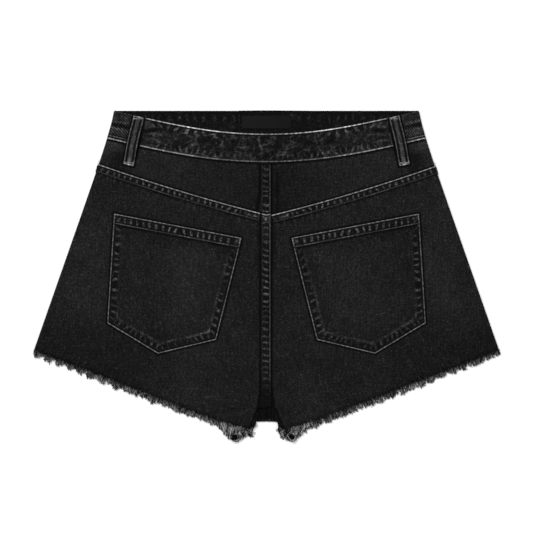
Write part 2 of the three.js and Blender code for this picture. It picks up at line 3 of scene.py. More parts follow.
import bpy
import numpy as np
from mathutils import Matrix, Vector


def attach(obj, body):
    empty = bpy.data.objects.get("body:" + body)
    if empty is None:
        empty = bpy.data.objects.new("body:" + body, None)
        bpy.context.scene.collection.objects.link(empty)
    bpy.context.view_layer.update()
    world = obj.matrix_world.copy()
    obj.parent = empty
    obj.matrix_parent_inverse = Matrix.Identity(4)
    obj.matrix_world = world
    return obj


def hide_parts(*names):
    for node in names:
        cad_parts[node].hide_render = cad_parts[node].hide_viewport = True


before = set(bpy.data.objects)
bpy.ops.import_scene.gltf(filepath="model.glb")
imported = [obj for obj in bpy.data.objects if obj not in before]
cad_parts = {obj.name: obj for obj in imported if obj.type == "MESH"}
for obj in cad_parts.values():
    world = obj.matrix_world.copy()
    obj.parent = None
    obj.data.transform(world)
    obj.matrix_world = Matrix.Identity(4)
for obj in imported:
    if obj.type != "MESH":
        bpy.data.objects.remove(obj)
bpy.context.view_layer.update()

# Sizes are worked out in millimetres and made in metres. "across" is the distance from the centre line on the
# piece's own side, and "down" the distance below the waist's top edge. hand is -1 on the left and +1 on
# the right.
MM = 0.001
SIDES = (("left", -1), ("right", 1))

# Cloth
CLOTH = 1.0
BAND = 2.0
GAP = 0.3
FELL = 0.9
FELL_WIDTH = 9.4
FELL_STEP = 0.9

# Outline
HALF_LENGTH = 190.5
WAIST_HALF = 174.8
FLARE = 0.35
HIP_EASE = 4.2
HIP_EASE_RUN = 25
BAND_HEIGHT = 32
BACK_TOP = {"centre": 27.0, "fall": 1.155e-3, "ease": 9.56e-9}
BAND_LOW = {"centre": 59.2, "fall": 9.8e-4, "ease": 4.94e-9}
YOKE_SEAM = {
    -1: {"point": 119.2, "slope": 0.254, "curve": 0.00024},
    1: {"point": 121.0, "slope": 0.243, "curve": 0.00028},
}
CENTRE_SEAM_LEFT = 6.4
CENTRE_SEAM_RIGHT = 5.1
CENTRE_SEAM_WIDTH = CENTRE_SEAM_LEFT + CENTRE_SEAM_RIGHT
CROTCH = 356.7
CROTCH_POINT = 341
CROTCH_RUN = 3
LEG_GAP = 8.9
LEG_SPREAD = 0.34
LEG_CURVE = 0.0025
HEM_INNER = 19.1
HEM_SIDE = 266.8
HEM_SIDE_DOWN = 274.9
HEM_SLOPE = 0.385
HEM_EASE = 4
HEM_EASE_RUN = 20
HEM_INNER_DOWN = CROTCH + 9.6

# Heights
REST_HEIGHT = 3.0
FOLD_RADIUS = 3.0
BAND_EXTRA = BAND - CLOTH
BAND_FOLD = FOLD_RADIUS + BAND_EXTRA / 2
SIDE_RUN = 24
CROTCH_LIFT_RUN = 38
VALLEY = {"depth": 1.9, "run": 45, "edge": 4}
RIPPLE = {"height": 0.35, "across": 21, "down": 33, "across_slow": 58, "down_slow": 47}
EDGE_ANGLE = 3
CROTCH_FOLD = 1.25
FLAP_TUCK = 5
FLAP_LOW = 352

# Closure
BUTTON = {"down": 16, "radius": 8.5, "height": 1.6, "rim": 0.5, "shank": 2.4}
BUTTON_LIFT = 2.2
BUTTON_FLAT = 9.5
BUTTON_RUN = 34
OVERLAP_END = 24
UNDERLAP_END = 32
STACK_GAP = 0.45
BAND_STACK = BAND + STACK_GAP
CLOTH_STACK = CLOTH + STACK_GAP
LAP_RUN = 60
FLY = {"length": 150, "fade": 26, "curve": 28, "lift": 1.0, "half": 26, "half_run": 70, "lift_run": 60}
FLY_ROWS = {"out": 34.0, "apart": 6, "curve": 26}
CLOSURE = {"lift": 5.1, "half": 56, "down": 33, "down_run": 34}

# Pocket corners: across, down
POCKET_TOP_OUTER = np.array([174.6, 118.0])
POCKET_TOP_INNER = np.array([28.5, 145.9])
POCKET_LOW_INNER = np.array([57.8, 262.5])
POCKET_TIP = np.array([124.3, 278.4])
POCKET_LOW_OUTER = np.array([182.4, 243.4])
POCKET_TIP_SHARE = 0.52
POCKET_TACKS = ((172.8, 121.4), (31.6, 148.7))
POCKET_HEM_RAISE = 0.7
POCKET_HEM_SHARE = 0.097
POCKET_DEPTH = 118
POCKET_MOUTH = 146
POCKET_HEM_EDGE = POCKET_HEM_SHARE * POCKET_DEPTH
POCKET_GAPE = 0.8

# Belt loops
LOOP = {"top_across": 146.2, "low_across": 158.2, "low_down": 62.5, "width": 12, "thickness": 1.6}
LOOP_ARCH = {"height": 6.8, "tack": 6, "roundness": 0.6}
LOOP_STEP_DOWN = (0.62, 0.9)

LABEL = {"half": 28.5, "top": 6, "low": 21.3, "thickness": 1.0}
FRAY = {"strip": 2.0, "thickness": 0.9, "gap": 0.33}
LOCK = {"length": 12, "least": 0.72, "spread": 0.5, "wave": 0.22, "waves": 31}
SHORTEN = {"inner": 0.9, "by": 0.27, "from": 30, "to": 60}  # the threads, against the solids' locks
THREADS = {"back": (100, 13), "front": (80, 6)}  # locks along a hem, and threads in each
CURL_THREADS = {"clump": 260, "each": 120}
SPLAY = {"turn": 0.8, "run": 14}

# Tones, as a screen shows them from 0 to 1
# inside is darker as painted shade: the front band's inner face, inside the waist.
TONE = {"cloth": 0.109, "inside": 0.06}
FAR = 50.0


def smooth(low, high, x):
    t = np.clip((x - low) / (high - low), 0, 1)
    return t * t * (3 - 2 * t)


def fade(low, high, x):
    return 1 - smooth(low, high, x)


def lerp(a, b, t):
    return a + (b - a) * t


def bell(x, half):
    return np.exp(-((x / half) ** 2))


# Repeatable noise

LATTICE = 128


def noise(x, y, seed):
    """Smooth noise from -1 to 1, in cells one unit wide."""
    table = np.random.default_rng(seed).uniform(-1, 1, (LATTICE, LATTICE))
    x, y = np.broadcast_arrays(np.asarray(x, float), np.asarray(y, float))
    column = np.floor(x).astype(int)
    row = np.floor(y).astype(int)
    s = x - column
    t = y - row
    s = s * s * (3 - 2 * s)
    t = t * t * (3 - 2 * t)
    near = [table[(row + j) % LATTICE, (column + i) % LATTICE] for j in (0, 1) for i in (0, 1)]
    return lerp(lerp(near[0], near[1], s), lerp(near[2], near[3], s), t)


def layered(x, y, seed, layers=3):
    total = 0
    weight = 0
    for k in range(layers):
        total = total + noise(x * 2**k, y * 2**k, seed + k) / 2**k
        weight += 1 / 2**k
    return total / weight


# The outline's lines


def side_at(down):
    return WAIST_HALF + FLARE * down - HIP_EASE * (1 - np.exp(-down / HIP_EASE_RUN))


def dip_at(line, across):
    return line["centre"] - line["fall"] * across**2 + line["ease"] * across**4


def back_top_at(across):
    return dip_at(BACK_TOP, across)


def band_low_at(across):
    return dip_at(BAND_LOW, across)


def yoke_at(hand):
    seam = YOKE_SEAM[hand]
    return lambda across: seam["point"] - seam["slope"] * np.abs(across) - seam["curve"] * across**2


def hem_at(across):
    a = np.maximum(across, HEM_INNER)
    line = HEM_SIDE_DOWN + HEM_SLOPE * (HEM_SIDE - a)
    return line - HEM_EASE * np.exp(-(a - HEM_INNER) / HEM_EASE_RUN)


def leg_at(down):
    below = np.maximum(0, down - CROTCH_POINT)
    return LEG_GAP + LEG_SPREAD * below + LEG_CURVE * below * below


def apart(down):
    return smooth(CROTCH_POINT - CROTCH_RUN, CROTCH_POINT + 1, down)


# Heights


def side_share(across, down):
    return np.exp(-np.maximum(0, side_at(down) - FOLD_RADIUS - np.abs(across)) / SIDE_RUN)


def crotch_share(across, down):
    outward = np.maximum(0, np.abs(across) - leg_at(down) - FOLD_RADIUS)
    above = np.maximum(0, CROTCH_POINT - down)
    return np.exp(-np.hypot(outward, above) / CROTCH_LIFT_RUN)


def back_height(across, down):
    a = np.abs(across)
    loose = (1 - side_share(a, down)) * (1 - crotch_share(a, down))
    folded = (2 * FOLD_RADIUS - REST_HEIGHT) * (1 - loose)
    on_closure = bell(a, CLOSURE["half"]) * fade(CLOSURE["down"], CLOSURE["down"] + CLOSURE["down_run"], down)
    down_fly = fade(FLY["length"], FLY["length"] + FLY["lift_run"], down)
    on_fly = fade(FLY["half"], FLY["half_run"], a) * down_fly
    lift = np.maximum(CLOSURE["lift"] * on_closure, FLY["lift"] * on_fly)
    wave_out = np.sin(a / RIPPLE["across"] + down / RIPPLE["down_slow"])
    wave_down = np.sin(down / RIPPLE["down"] - a / RIPPLE["across_slow"])
    ripple = RIPPLE["height"] * (1 + wave_out * wave_down)
    in_valley = smooth(CROTCH_POINT - VALLEY["run"], CROTCH_POINT, down) * (1 - apart(down))
    seam_half = CENTRE_SEAM_WIDTH / 2
    valley = VALLEY["depth"] * in_valley * fade(seam_half, seam_half + VALLEY["edge"], a)
    return REST_HEIGHT + folded + loose * (lift + ripple) - valley


def front_height(across, down):
    return BUTTON_LIFT * fade(BUTTON_FLAT, BUTTON_RUN, np.hypot(across, down - BUTTON["down"]))


def lap_lift(across, down, stack):
    down_fly = fade(FLY["length"], FLY["length"] + FLY["fade"], down)
    return stack * fade(OVERLAP_END + 1, LAP_RUN, across) * down_fly


def band_height(across, down):
    return back_height(across, down) + BAND_EXTRA


# Grids of cloth. A column is a kind and a value: an angle round a fold, a distance in from the inner edge, or
# a share of the way to the side's fold. A row is a distance below the top and a share of the way to the
# bottom.

ROUND_INNER, INWARD, SHARE, ROUND_SIDE = range(4)
PLACE_STEPS = 30


def columns(*groups):
    kinds = np.concatenate([np.full(len(values), kind) for kind, values in groups])
    return kinds, np.concatenate([np.asarray(values, float) for _, values in groups])


def fold_angles(count, way=1):
    return np.radians(np.linspace(EDGE_ANGLE, 90, count))[::way]


def rows(*groups):
    below = np.concatenate([np.full(len(shares), start, float) for start, shares in groups])
    return below, np.concatenate([np.asarray(shares, float) for _, shares in groups])


def lay_out(hand, top, bottom, inner, start, rows, columns, radius, height, way=1, legs=None):
    """Places a panel's grid. Returns its points and where each is on the garment."""
    kinds, values = columns
    below, share = (part[:, None] for part in rows)
    across = np.full((len(below), len(kinds)), 100.0)
    for _ in range(PLACE_STEPS):
        first = top(across) + below
        down = lerp(first, bottom(across), share)
        edge = inner(down)
        end = side_at(down) - radius
        places = [
            edge + radius * (1 - np.cos(values)),
            edge + values,
            lerp(start(down), end, values),
            end + radius * np.cos(values),
        ]
        across = np.choose(np.broadcast_to(kinds, across.shape), places)
    drop = np.zeros_like(across)
    at_side = kinds == ROUND_SIDE
    drop[:, at_side] = radius * (1 - np.sin(values[at_side]))
    if legs is not None:
        at_leg = kinds == ROUND_INNER
        drop[:, at_leg] = legs(down[:, at_leg]) * radius * (1 - np.sin(values[at_leg]))
    z = height(across, down) - way * drop
    points = np.stack([hand * across, HALF_LENGTH - down, z], -1)
    return points, across, down


def normals_of(points, towards):
    along = np.gradient(points, axis=0)
    across = np.gradient(points, axis=1)
    n = np.cross(along, across)
    n /= np.linalg.norm(n, axis=-1, keepdims=True)
    middle = n[n.shape[0] // 2, n.shape[1] // 2]
    if middle[2] * towards < 0:
        n = -n
    for column in (0, -1):
        upright = np.abs(n[:, column, 2]) < 0.5
        n[:, column, 2] = np.where(upright, 0, n[:, column, 2])
        n[:, column, 0] = np.where(upright, n[:, column, 0], 0)
    n[0, :, 1] = 0
    n[-1, :, 1] = 0
    return n / np.linalg.norm(n, axis=-1, keepdims=True)


def new_object(name, mesh, material):
    mesh.materials.append(material)
    made = bpy.data.objects.new(name, mesh)
    bpy.context.scene.collection.objects.link(made)
    return made


def add_attributes(mesh, attributes):
    for name, values in attributes.items():
        values = np.asarray(values, np.float32)
        if values.ndim == 2:
            made = mesh.attributes.new(name, "FLOAT_VECTOR", "POINT")
            made.data.foreach_set("vector", values.ravel())
        else:
            made = mesh.attributes.new(name, "FLOAT", "POINT")
            made.data.foreach_set("value", values)


def grid_faces(rows, columns, first=0, flip=False):
    index = first + np.arange(rows * columns).reshape(rows, columns)
    quads = np.stack([index[:-1, :-1], index[1:, :-1], index[1:, 1:], index[:-1, 1:]], -1).reshape(-1, 4)
    return quads[:, ::-1] if flip else quads


def rim_faces(rows, columns):
    """The four narrow sides between a grid and its copy behind it."""
    count = rows * columns
    index = np.arange(count).reshape(rows, columns)
    loop = np.concatenate([index[0, :-1], index[:-1, -1], index[-1, :0:-1], index[:0:-1, 0]])
    ahead = np.roll(loop, -1)
    return np.stack([loop, ahead, ahead + count, loop + count], -1)


def shell(name, points, thickness, raises, towards, attributes, material, normals=None):
    """A closed wall of cloth, with its outer face raised."""
    count_rows, count_columns = points.shape[:2]
    n = normals_of(points, towards) if normals is None else normals
    outer = points + n * raises[..., None]
    inner = points - n * thickness
    inner[..., 2] = np.maximum(inner[..., 2], 0)
    vertices = np.concatenate([outer.reshape(-1, 3), inner.reshape(-1, 3)]) * MM
    size = count_rows * count_columns
    faces = np.concatenate([
        grid_faces(count_rows, count_columns),
        grid_faces(count_rows, count_columns, size, True),
        rim_faces(count_rows, count_columns),
    ])
    turn = np.cross(points[1, 0] - points[0, 0], points[0, 1] - points[0, 0])
    if turn @ n[0, 0] < 0:
        faces = faces[:, ::-1]
    mesh = bpy.data.meshes.new(name)
    mesh.from_pydata(vertices.tolist(), [], faces.tolist())
    mesh.polygons.foreach_set("use_smooth", np.ones(len(faces), bool))
    flat = {}
    for key, values in attributes.items():
        values = np.broadcast_to(values, (count_rows, count_columns) + np.shape(values)[2:])
        one = values.reshape(size, -1) if values.ndim == 3 else values.reshape(size)
        flat[key] = np.concatenate([one, one])
    add_attributes(mesh, flat)
    mesh.update()
    return new_object(name, mesh, material)


def dress(piece, nodes):
    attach(piece, "root")
    if nodes:
        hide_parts(*nodes)


def cloth_place(points, down, offset):
    """Where a point lies on its piece of cloth, in millimetres, for the weave."""
    steps = np.linalg.norm(np.diff(points, axis=1), axis=-1)
    along = np.concatenate([np.zeros((len(points), 1)), np.cumsum(steps, axis=1)], axis=1)
    return np.stack([along, down, np.full_like(down, offset)], -1)


def cloth_area(points):
    across = np.linalg.norm(np.diff(points[:-1], axis=1), axis=-1)
    along = np.linalg.norm(np.diff(points[:, :-1], axis=0), axis=-1)
    normal = np.cross(np.diff(points[:-1], axis=1), np.diff(points[:, :-1], axis=0))
    area = float(np.linalg.norm(normal, axis=-1).sum()) * MM * MM
    return area, float(across.sum(1).max()), float(along.sum(0).max())


def declare(points):
    """Works out the piece's cut: its own area, in the rectangle it is cut from. The results are not used."""
    area, width, length = cloth_area(points)
    width *= MM
    length *= MM
    if area > width * length:
        length = area / width


def denim_attributes(cloth, tone, wear_and_highlight, line, puckered, rim=FAR, **more):
    """What the denim reads at each place. line is a distance, how worn and the place along it. rim is the
    distance outside a neighbour's raised edge, where the cloth is darkened as painted shadow.
    """
    distance, worn, along = line
    phase, ladder = puckered
    seams = {"line": distance, "line_worn": worn, "along": along, "ladder": ladder, "phase": phase}
    return {"cloth": cloth, "tone": tone, "wear_and_highlight": wear_and_highlight, **seams, **more, "rim": rim}


# Materials


class Nodes:
    """Makes a material's nodes in few words."""

    def __init__(self, name):
        self.material = bpy.data.materials.new(name)
        self.material.use_nodes = True
        self.tree = self.material.node_tree
        self.shader = self.tree.nodes["Principled BSDF"]

    def add(self, kind, **settings):
        node = self.tree.nodes.new(kind)
        for key, value in settings.items():
            setattr(node, key, value)
        return node

    def put(self, socket, value):
        if isinstance(value, bpy.types.NodeSocket):
            self.tree.links.new(value, socket)
        else:
            socket.default_value = value

    def math(self, operation, *values):
        node = self.add("ShaderNodeMath", operation=operation)
        for socket, value in zip(node.inputs, values):
            self.put(socket, value)
        return node.outputs[0]

    def sway(self, base, pattern, depth):
        """Adds a pattern that runs from 0 to 1, half of it up and half down."""
        return self.math("MULTIPLY_ADD", self.math("SUBTRACT", pattern, 0.5), depth, base)

    def attribute(self, name, part="Fac"):
        return self.add("ShaderNodeAttribute", attribute_name=name).outputs[part]

    def noise(self, vector, scale, detail=2, roughness=0.5, stretch=None):
        if stretch is not None:
            mapping = self.add("ShaderNodeMapping")
            self.put(mapping.inputs["Vector"], vector)
            mapping.inputs["Rotation"].default_value = (0, 0, stretch[0])
            mapping.inputs["Scale"].default_value = (stretch[1], stretch[2], 1)
            vector = mapping.outputs[0]
        node = self.add("ShaderNodeTexNoise")
        self.put(node.inputs["Vector"], vector)
        node.inputs["Scale"].default_value = scale
        node.inputs["Detail"].default_value = detail
        node.inputs["Roughness"].default_value = roughness
        return node.outputs["Fac"]

    def ramp(self, value, low, high, out_low=0.0, out_high=1.0):
        node = self.add("ShaderNodeMapRange", interpolation_type="SMOOTHSTEP")
        self.put(node.inputs["Value"], value)
        node.inputs["From Min"].default_value = low
        node.inputs["From Max"].default_value = high
        node.inputs["To Min"].default_value = out_low
        node.inputs["To Max"].default_value = out_high
        return node.outputs["Result"]

    def waves(self, vector, turn, spacing):
        """Bands at an angle, spacing apart, from 0 to 1."""
        mapping = self.add("ShaderNodeMapping")
        self.put(mapping.inputs["Vector"], vector)
        mapping.inputs["Rotation"].default_value = (0, 0, turn)
        node = self.add("ShaderNodeTexWave", wave_type="BANDS", bands_direction="X", wave_profile="SIN")
        self.put(node.inputs["Vector"], mapping.outputs[0])
        node.inputs["Scale"].default_value = 2 * math.pi / 20 / spacing
        node.inputs["Distortion"].default_value = 1.2
        node.inputs["Detail"].default_value = 1.0
        node.inputs["Detail Scale"].default_value = 3.0
        return node.outputs["Fac"]

    def crackle(self, vector, stretch, wander):
        """How far inside a net of uneven cells a place lies, from 0 at their edges."""
        mapping = self.add("ShaderNodeMapping")
        self.put(mapping.inputs["Vector"], vector)
        mapping.inputs["Scale"].default_value = (*stretch, 1)
        shift = self.add("ShaderNodeTexNoise")
        self.put(shift.inputs["Vector"], mapping.outputs[0])
        shift.inputs["Scale"].default_value = 1.6
        moved = self.add("ShaderNodeVectorMath", operation="MULTIPLY_ADD")
        self.put(moved.inputs[0], shift.outputs["Color"])
        moved.inputs[1].default_value = (wander, wander, 0)
        self.put(moved.inputs[2], mapping.outputs[0])
        cells = self.add("ShaderNodeTexVoronoi", feature="DISTANCE_TO_EDGE")
        self.put(cells.inputs["Vector"], moved.outputs[0])
        cells.inputs["Scale"].default_value = 1.0
        return cells.outputs["Distance"]

    def tone_colour(self, tone, tint):
        """A grey of the given tone on screen, slightly tinted."""
        linear = self.math("POWER", tone, 2.2)
        joined = self.add("ShaderNodeCombineColor")
        for socket, share in zip(joined.inputs, tint):
            self.put(socket, self.math("MULTIPLY", linear, share))
        return joined.outputs[0]

    def bump(self, height, strength, distance):
        node = self.add("ShaderNodeBump")
        node.inputs["Strength"].default_value = strength
        node.inputs["Distance"].default_value = distance
        self.put(node.inputs["Height"], height)
        self.put(self.shader.inputs["Normal"], node.outputs[0])


TWILL_TURN = math.radians(48)
TWILL_SPACING = 2.1
DASH = 5.6


def denim_material():
    m = Nodes("denim")
    place = m.attribute("cloth", "Vector")
    coarse = m.noise(place, 0.3, 3, 0.7)
    fine = m.noise(place, 0.6, 2, 0.7)
    speck = m.noise(place, 0.55, 2, 0.6, (0.9, 1.0, 1.0))
    slub = m.noise(place, 0.5, 2, 0.6, (0, 1.0, 0.12))
    weft = m.noise(place, 0.5, 2, 0.6, (0, 0.14, 1.0))
    twill = m.waves(place, TWILL_TURN, TWILL_SPACING)
    crackle = m.crackle(place, (1 / 15, 1 / 10), 0.5)
    vein = m.math("MULTIPLY", m.ramp(crackle, 0.11, 0.02), m.ramp(m.noise(place, 0.07, 2, 0.6), 0.4, 0.58))
    vein = m.math("MULTIPLY", vein, m.attribute("veins"))
    wear_and_highlight = m.attribute("wear_and_highlight")
    line = m.attribute("line")
    line_worn = m.attribute("line_worn")
    along = m.attribute("along")
    ladder = m.attribute("ladder")
    rung = m.math("COSINE", m.math("MULTIPLY", m.attribute("phase"), 2 * math.pi))
    rung = m.math("MULTIPLY", m.ramp(rung, 0.1, 0.85), m.ramp(coarse, 0.36, 0.6, 0.4, 1.2))
    ridge = m.math("MULTIPLY", m.ramp(line, -0.15, 0.2), m.ramp(line, 1.5, 1.0))
    shaded_groove = m.math("MULTIPLY", m.ramp(line, 1.3, 1.7), m.ramp(line, 3.3, 2.4))
    shadow = m.math("MULTIPLY", m.ramp(line, -3.0, -1.2), m.ramp(line, 0.1, -0.3))
    joined = m.add("ShaderNodeCombineXYZ")
    m.put(joined.inputs[0], along)
    m.put(joined.inputs[1], line)
    broken = m.ramp(m.noise(joined.outputs[0], 0.25, 2, 0.6), 0.3, 0.66, 0.6, 1.12)
    dash = m.ramp(m.math("COSINE", m.math("MULTIPLY", along, 2 * math.pi / DASH)), -1.0, 0.1, 0.82, 1.04)
    bright = m.math("MULTIPLY", m.math("MULTIPLY", ridge, line_worn), m.math("MULTIPLY", broken, dash))
    tone = m.attribute("tone")
    tone = m.sway(tone, coarse, 0.13)
    tone = m.sway(tone, fine, 0.14)
    tone = m.math("MULTIPLY_ADD", m.ramp(speck, 0.56, 0.72), 0.085, m.math("SUBTRACT", tone, 0.012))
    tone = m.sway(tone, slub, 0.1)
    tone = m.sway(tone, weft, 0.05)
    twill_depth = m.math("MULTIPLY_ADD", m.attribute("twill"), 0.11, m.math("MULTIPLY_ADD", wear_and_highlight, 0.08, 0.02))
    tone = m.sway(tone, twill, twill_depth)
    # The wear read here is real wear, with painted highlight beside the waistband's creases.
    worn = m.math("MULTIPLY", wear_and_highlight, m.ramp(coarse, 0.34, 0.62, 0.3, 1.15))
    worn = m.math("MULTIPLY_ADD", vein, 0.27, worn)
    tone = m.math("MULTIPLY_ADD", worn, 0.34, tone)
    lit = m.math("MULTIPLY", ladder, rung)
    tone = m.math("MULTIPLY_ADD", ladder, -0.06, m.math("MULTIPLY_ADD", lit, 0.32, tone))
    tone = m.math("MULTIPLY_ADD", bright, 0.76, tone)
    # Painted shade: a dark line in the groove 1.3 to 3.3 mm inside a worn line.
    tone = m.math("MULTIPLY_ADD", m.math("MULTIPLY", shaded_groove, m.math("MINIMUM", line_worn, 0.5)), -0.26, tone)
    tone = m.math("MULTIPLY_ADD", m.math("MULTIPLY", shadow, m.math("MINIMUM", line_worn, 0.4)), -0.3, tone)
    # Painted shadow: the tone falls to black within 1 mm of a neighbour's raised edge (rim) and comes back by
    # 3 mm.
    tone = m.math("MULTIPLY", tone, m.ramp(m.attribute("rim"), 1.0, 3.0, 0.0, 1.0))
    tone = m.math("MAXIMUM", tone, 0.015)
    m.put(m.shader.inputs["Base Color"], m.tone_colour(tone, (1.0, 0.995, 1.01)))
    rough = m.math("MULTIPLY_ADD", coarse, 0.2, 0.72)
    m.put(m.shader.inputs["Roughness"], m.math("MULTIPLY_ADD", worn, 0.08, rough))
    m.shader.inputs["Specular IOR Level"].default_value = 0.08
    height = m.math("MULTIPLY_ADD", twill, 0.5, m.math("MULTIPLY", fine, 0.9))
    height = m.math("MULTIPLY_ADD", lit, 1.2, m.math("MULTIPLY_ADD", slub, 0.3, height))
    m.bump(m.math("MULTIPLY_ADD", shaded_groove, -0.9, height), 0.8, 0.00024)
    return m.material


def thread_material(name, twist):
    m = Nodes(name)
    place = m.add("ShaderNodeTexCoord").outputs["Object"]
    fibre = m.noise(place, twist, 2, 0.6)
    tone = m.math("MULTIPLY", m.attribute("tone"), m.ramp(fibre, 0.3, 0.7, 0.75, 1.2))
    m.put(m.shader.inputs["Base Color"], m.tone_colour(tone, (1.0, 1.0, 1.01)))
    m.put(m.shader.inputs["Roughness"], m.math("MULTIPLY_ADD", fibre, 0.2, 0.7))
    m.shader.inputs["Specular IOR Level"].default_value = 0.15
    m.bump(fibre, 0.5, 0.0001)
    return m.material


def satin_material():
    m = Nodes("label_satin")
    place = m.attribute("cloth", "Vector")
    rib = m.waves(place, math.pi / 2, 0.7)
    soft = m.noise(place, 0.25, 2, 0.5)
    line = m.attribute("line")
    edge = m.ramp(line, 1.6, 0.4, 0, 0.012)
    tone = m.sway(0.072, rib, 0.012)
    tone = m.sway(tone, soft, 0.04)
    m.put(m.shader.inputs["Base Color"], m.tone_colour(m.math("ADD", tone, edge), (1, 1, 1.02)))
    m.put(m.shader.inputs["Roughness"], m.math("MULTIPLY_ADD", soft, 0.2, 0.5))
    m.shader.inputs["Specular IOR Level"].default_value = 0.06
    m.bump(rib, 0.4, 0.00008)
    return m.material


def metal_material():
    m = Nodes("button_metal")
    place = m.add("ShaderNodeTexCoord").outputs["Object"]
    blotch = m.noise(place, 260, 3, 0.6)
    scratch = m.noise(place, 900, 2, 0.6, (0.6, 1, 0.1))
    tone = m.math("MULTIPLY_ADD", blotch, 0.3, m.math("MULTIPLY_ADD", scratch, 0.16, 0.16))
    m.put(m.shader.inputs["Base Color"], m.tone_colour(tone, (1, 0.98, 0.97)))
    m.put(m.shader.inputs["Roughness"], m.math("MULTIPLY_ADD", blotch, 0.35, 0.2))
    m.shader.inputs["Metallic"].default_value = 1.0
    m.bump(scratch, 0.3, 0.00008)
    return m.material


denim = denim_material()
fray_thread = thread_material("frayed_thread", 900)
sewing_thread = thread_material("sewing_thread", 1500)
satin = satin_material()
metal = metal_material()


# Patterns that the cloth's forms and tones share


def pucker_phase(along, depth, spacing, slant, seed):
    """How many ridges lie before this place, unevenly spaced."""
    shift = 0.45 * noise(along / (1.7 * spacing), depth / 9, seed)
    return along / spacing + slant * depth / spacing + shift


def pucker_share(along, spacing, seed):
    return np.clip(0.74 + 0.45 * noise(along / (2.3 * spacing), 0.3, seed + 5), 0.25, 1)


def puckers(along, depth, spacing, slant, seed, window):
    """Ridges across a seam, uneven in place and height: their phase and how strong they are."""
    phase = pucker_phase(along, depth, spacing, slant, seed)
    amount = pucker_share(along, spacing, seed) * window
    return np.broadcast_arrays(phase, amount)


def strongest(sets):
    """Of several sets of ridges, takes the strongest at each place."""
    amounts = np.stack([amount for _, amount in sets])
    pick = amounts.argmax(0)[None]
    phases = np.stack([phase for phase, _ in sets])
    return [np.take_along_axis(part, pick, 0)[0] for part in (phases, amounts)]


def relief(phase, amount):
    return amount * (0.5 + 0.5 * np.cos(2 * np.pi * phase)) ** 1.6


def patches(x, down, seed):
    """Broad soft changes of tone, as washing leaves."""
    broad = layered(x / 46, down / 46, seed, 3)
    small = layered(x / 9, down / 9, seed + 9, 2)
    return 0.016 * broad + 0.01 * small


def nearest_line(lines):
    """Of several lines, each a signed distance, how worn it is and a place along it, takes the nearest."""
    shape = np.broadcast_shapes(*(np.shape(value) for line in lines for value in line))
    distance, worn, along = (np.stack([np.broadcast_to(v, shape) for v in part]) for part in zip(*lines))
    pick = np.abs(distance).argmin(0)[None]
    return [np.take_along_axis(part, pick, 0)[0] for part in (distance, worn, along)]


def segment_distance(across, down, a, b):
    """Signed distance from a line, positive on its right as one goes from a to b, and the place along it."""
    run = b - a
    length = np.hypot(*run)
    run = run / length
    along = (across - a[0]) * run[0] + (down - a[1]) * run[1]
    off = (across - a[0]) * -run[1] + (down - a[1]) * run[0]
    return off, along, length


POCKET_OUTLINE = [POCKET_TOP_INNER, POCKET_TOP_OUTER, POCKET_LOW_OUTER, POCKET_TIP, POCKET_LOW_INNER]


def pocket_distances(across, down):
    """Distance inside each of the pocket's five edges, and the place along each."""
    found = []
    for k, a in enumerate(POCKET_OUTLINE):
        b = POCKET_OUTLINE[(k + 1) % len(POCKET_OUTLINE)]
        off, along, _ = segment_distance(across, down, a, b)
        found.append((off, along))
    return found


def loop_run():
    """The belt loop's top, its way down and its length."""
    top = np.array([LOOP["top_across"], back_top_at(LOOP["top_across"]) + GAP])
    run = np.array([LOOP["low_across"], LOOP["low_down"]]) - top
    length = float(np.hypot(*run))
    return top, run / length, length


def outside_loop(across, down):
    """How far outside the belt loop's outline a place lies."""
    top, way, length = loop_run()
    along = (across - top[0]) * way[0] + (down - top[1]) * way[1]
    off = np.abs((across - top[0]) * way[1] - (down - top[1]) * way[0]) - LOOP["width"] / 2
    return np.minimum(np.maximum(np.maximum(off, along - length), -along), FAR)


def outside_pocket(across, down):
    inside = np.min([off for off, _ in pocket_distances(across, down)], axis=0)
    return -inside


# The back's panels

BACK_SHARES = np.linspace(0, 1, 118)[1:-1]
SEAM_PITCH = 0.78
SEAM_REACH = {-1: 28, 1: 18}


def seam_steps(hand, first=0):
    return np.arange(first, SEAM_REACH[hand], SEAM_PITCH)


def back_start(hand):
    low = {-1: 50, 1: 40}[hand]
    return lambda down: lerp(24, low, smooth(230, 330, down))


def centre_lap(hand):
    return -CENTRE_SEAM_RIGHT if hand < 0 else CENTRE_SEAM_RIGHT + GAP


def centre_edge(hand):
    return lambda down: lerp(centre_lap(hand), leg_at(down), apart(down))


def from_seam(hand, across):
    """Distance from the raised centre seam."""
    return across - (CENTRE_SEAM_LEFT if hand < 0 else CENTRE_SEAM_RIGHT)


def centre_raise(hand, across, down):
    if hand > 0:
        return np.zeros_like(across)
    edge = smooth(-CENTRE_SEAM_RIGHT, -CENTRE_SEAM_RIGHT + 0.7, across)
    fell = fade(CENTRE_SEAM_LEFT, CENTRE_SEAM_LEFT + FELL_STEP, across)
    return FELL * (0.7 + 0.3 * edge) * fell * (1 - apart(down))


def centre_lines(hand, across, down):
    """The centre seam's two worn lines."""
    still = (1 - apart(down)) * (1 - 0.8 * smooth(280, 330, down))
    x = across if hand < 0 else -across
    return [
        (x + CENTRE_SEAM_RIGHT - 0.6, 0.17 * still, down),
        (CENTRE_SEAM_LEFT - x - 0.6, 0.04 * still, down + 50),
    ]


def centre_puckers(hand, across, down):
    window = smooth(-3.6, -2.4, across) * fade(3.4, 5.0, across) * (1 - apart(down)) * (hand < 0)
    window = window * (0.75 - 0.62 * smooth(280, 325, down)) * (0.65 + 0.35 * smooth(80, 110, down))
    return puckers(down, across, 7.2, 0.15, 31, window)


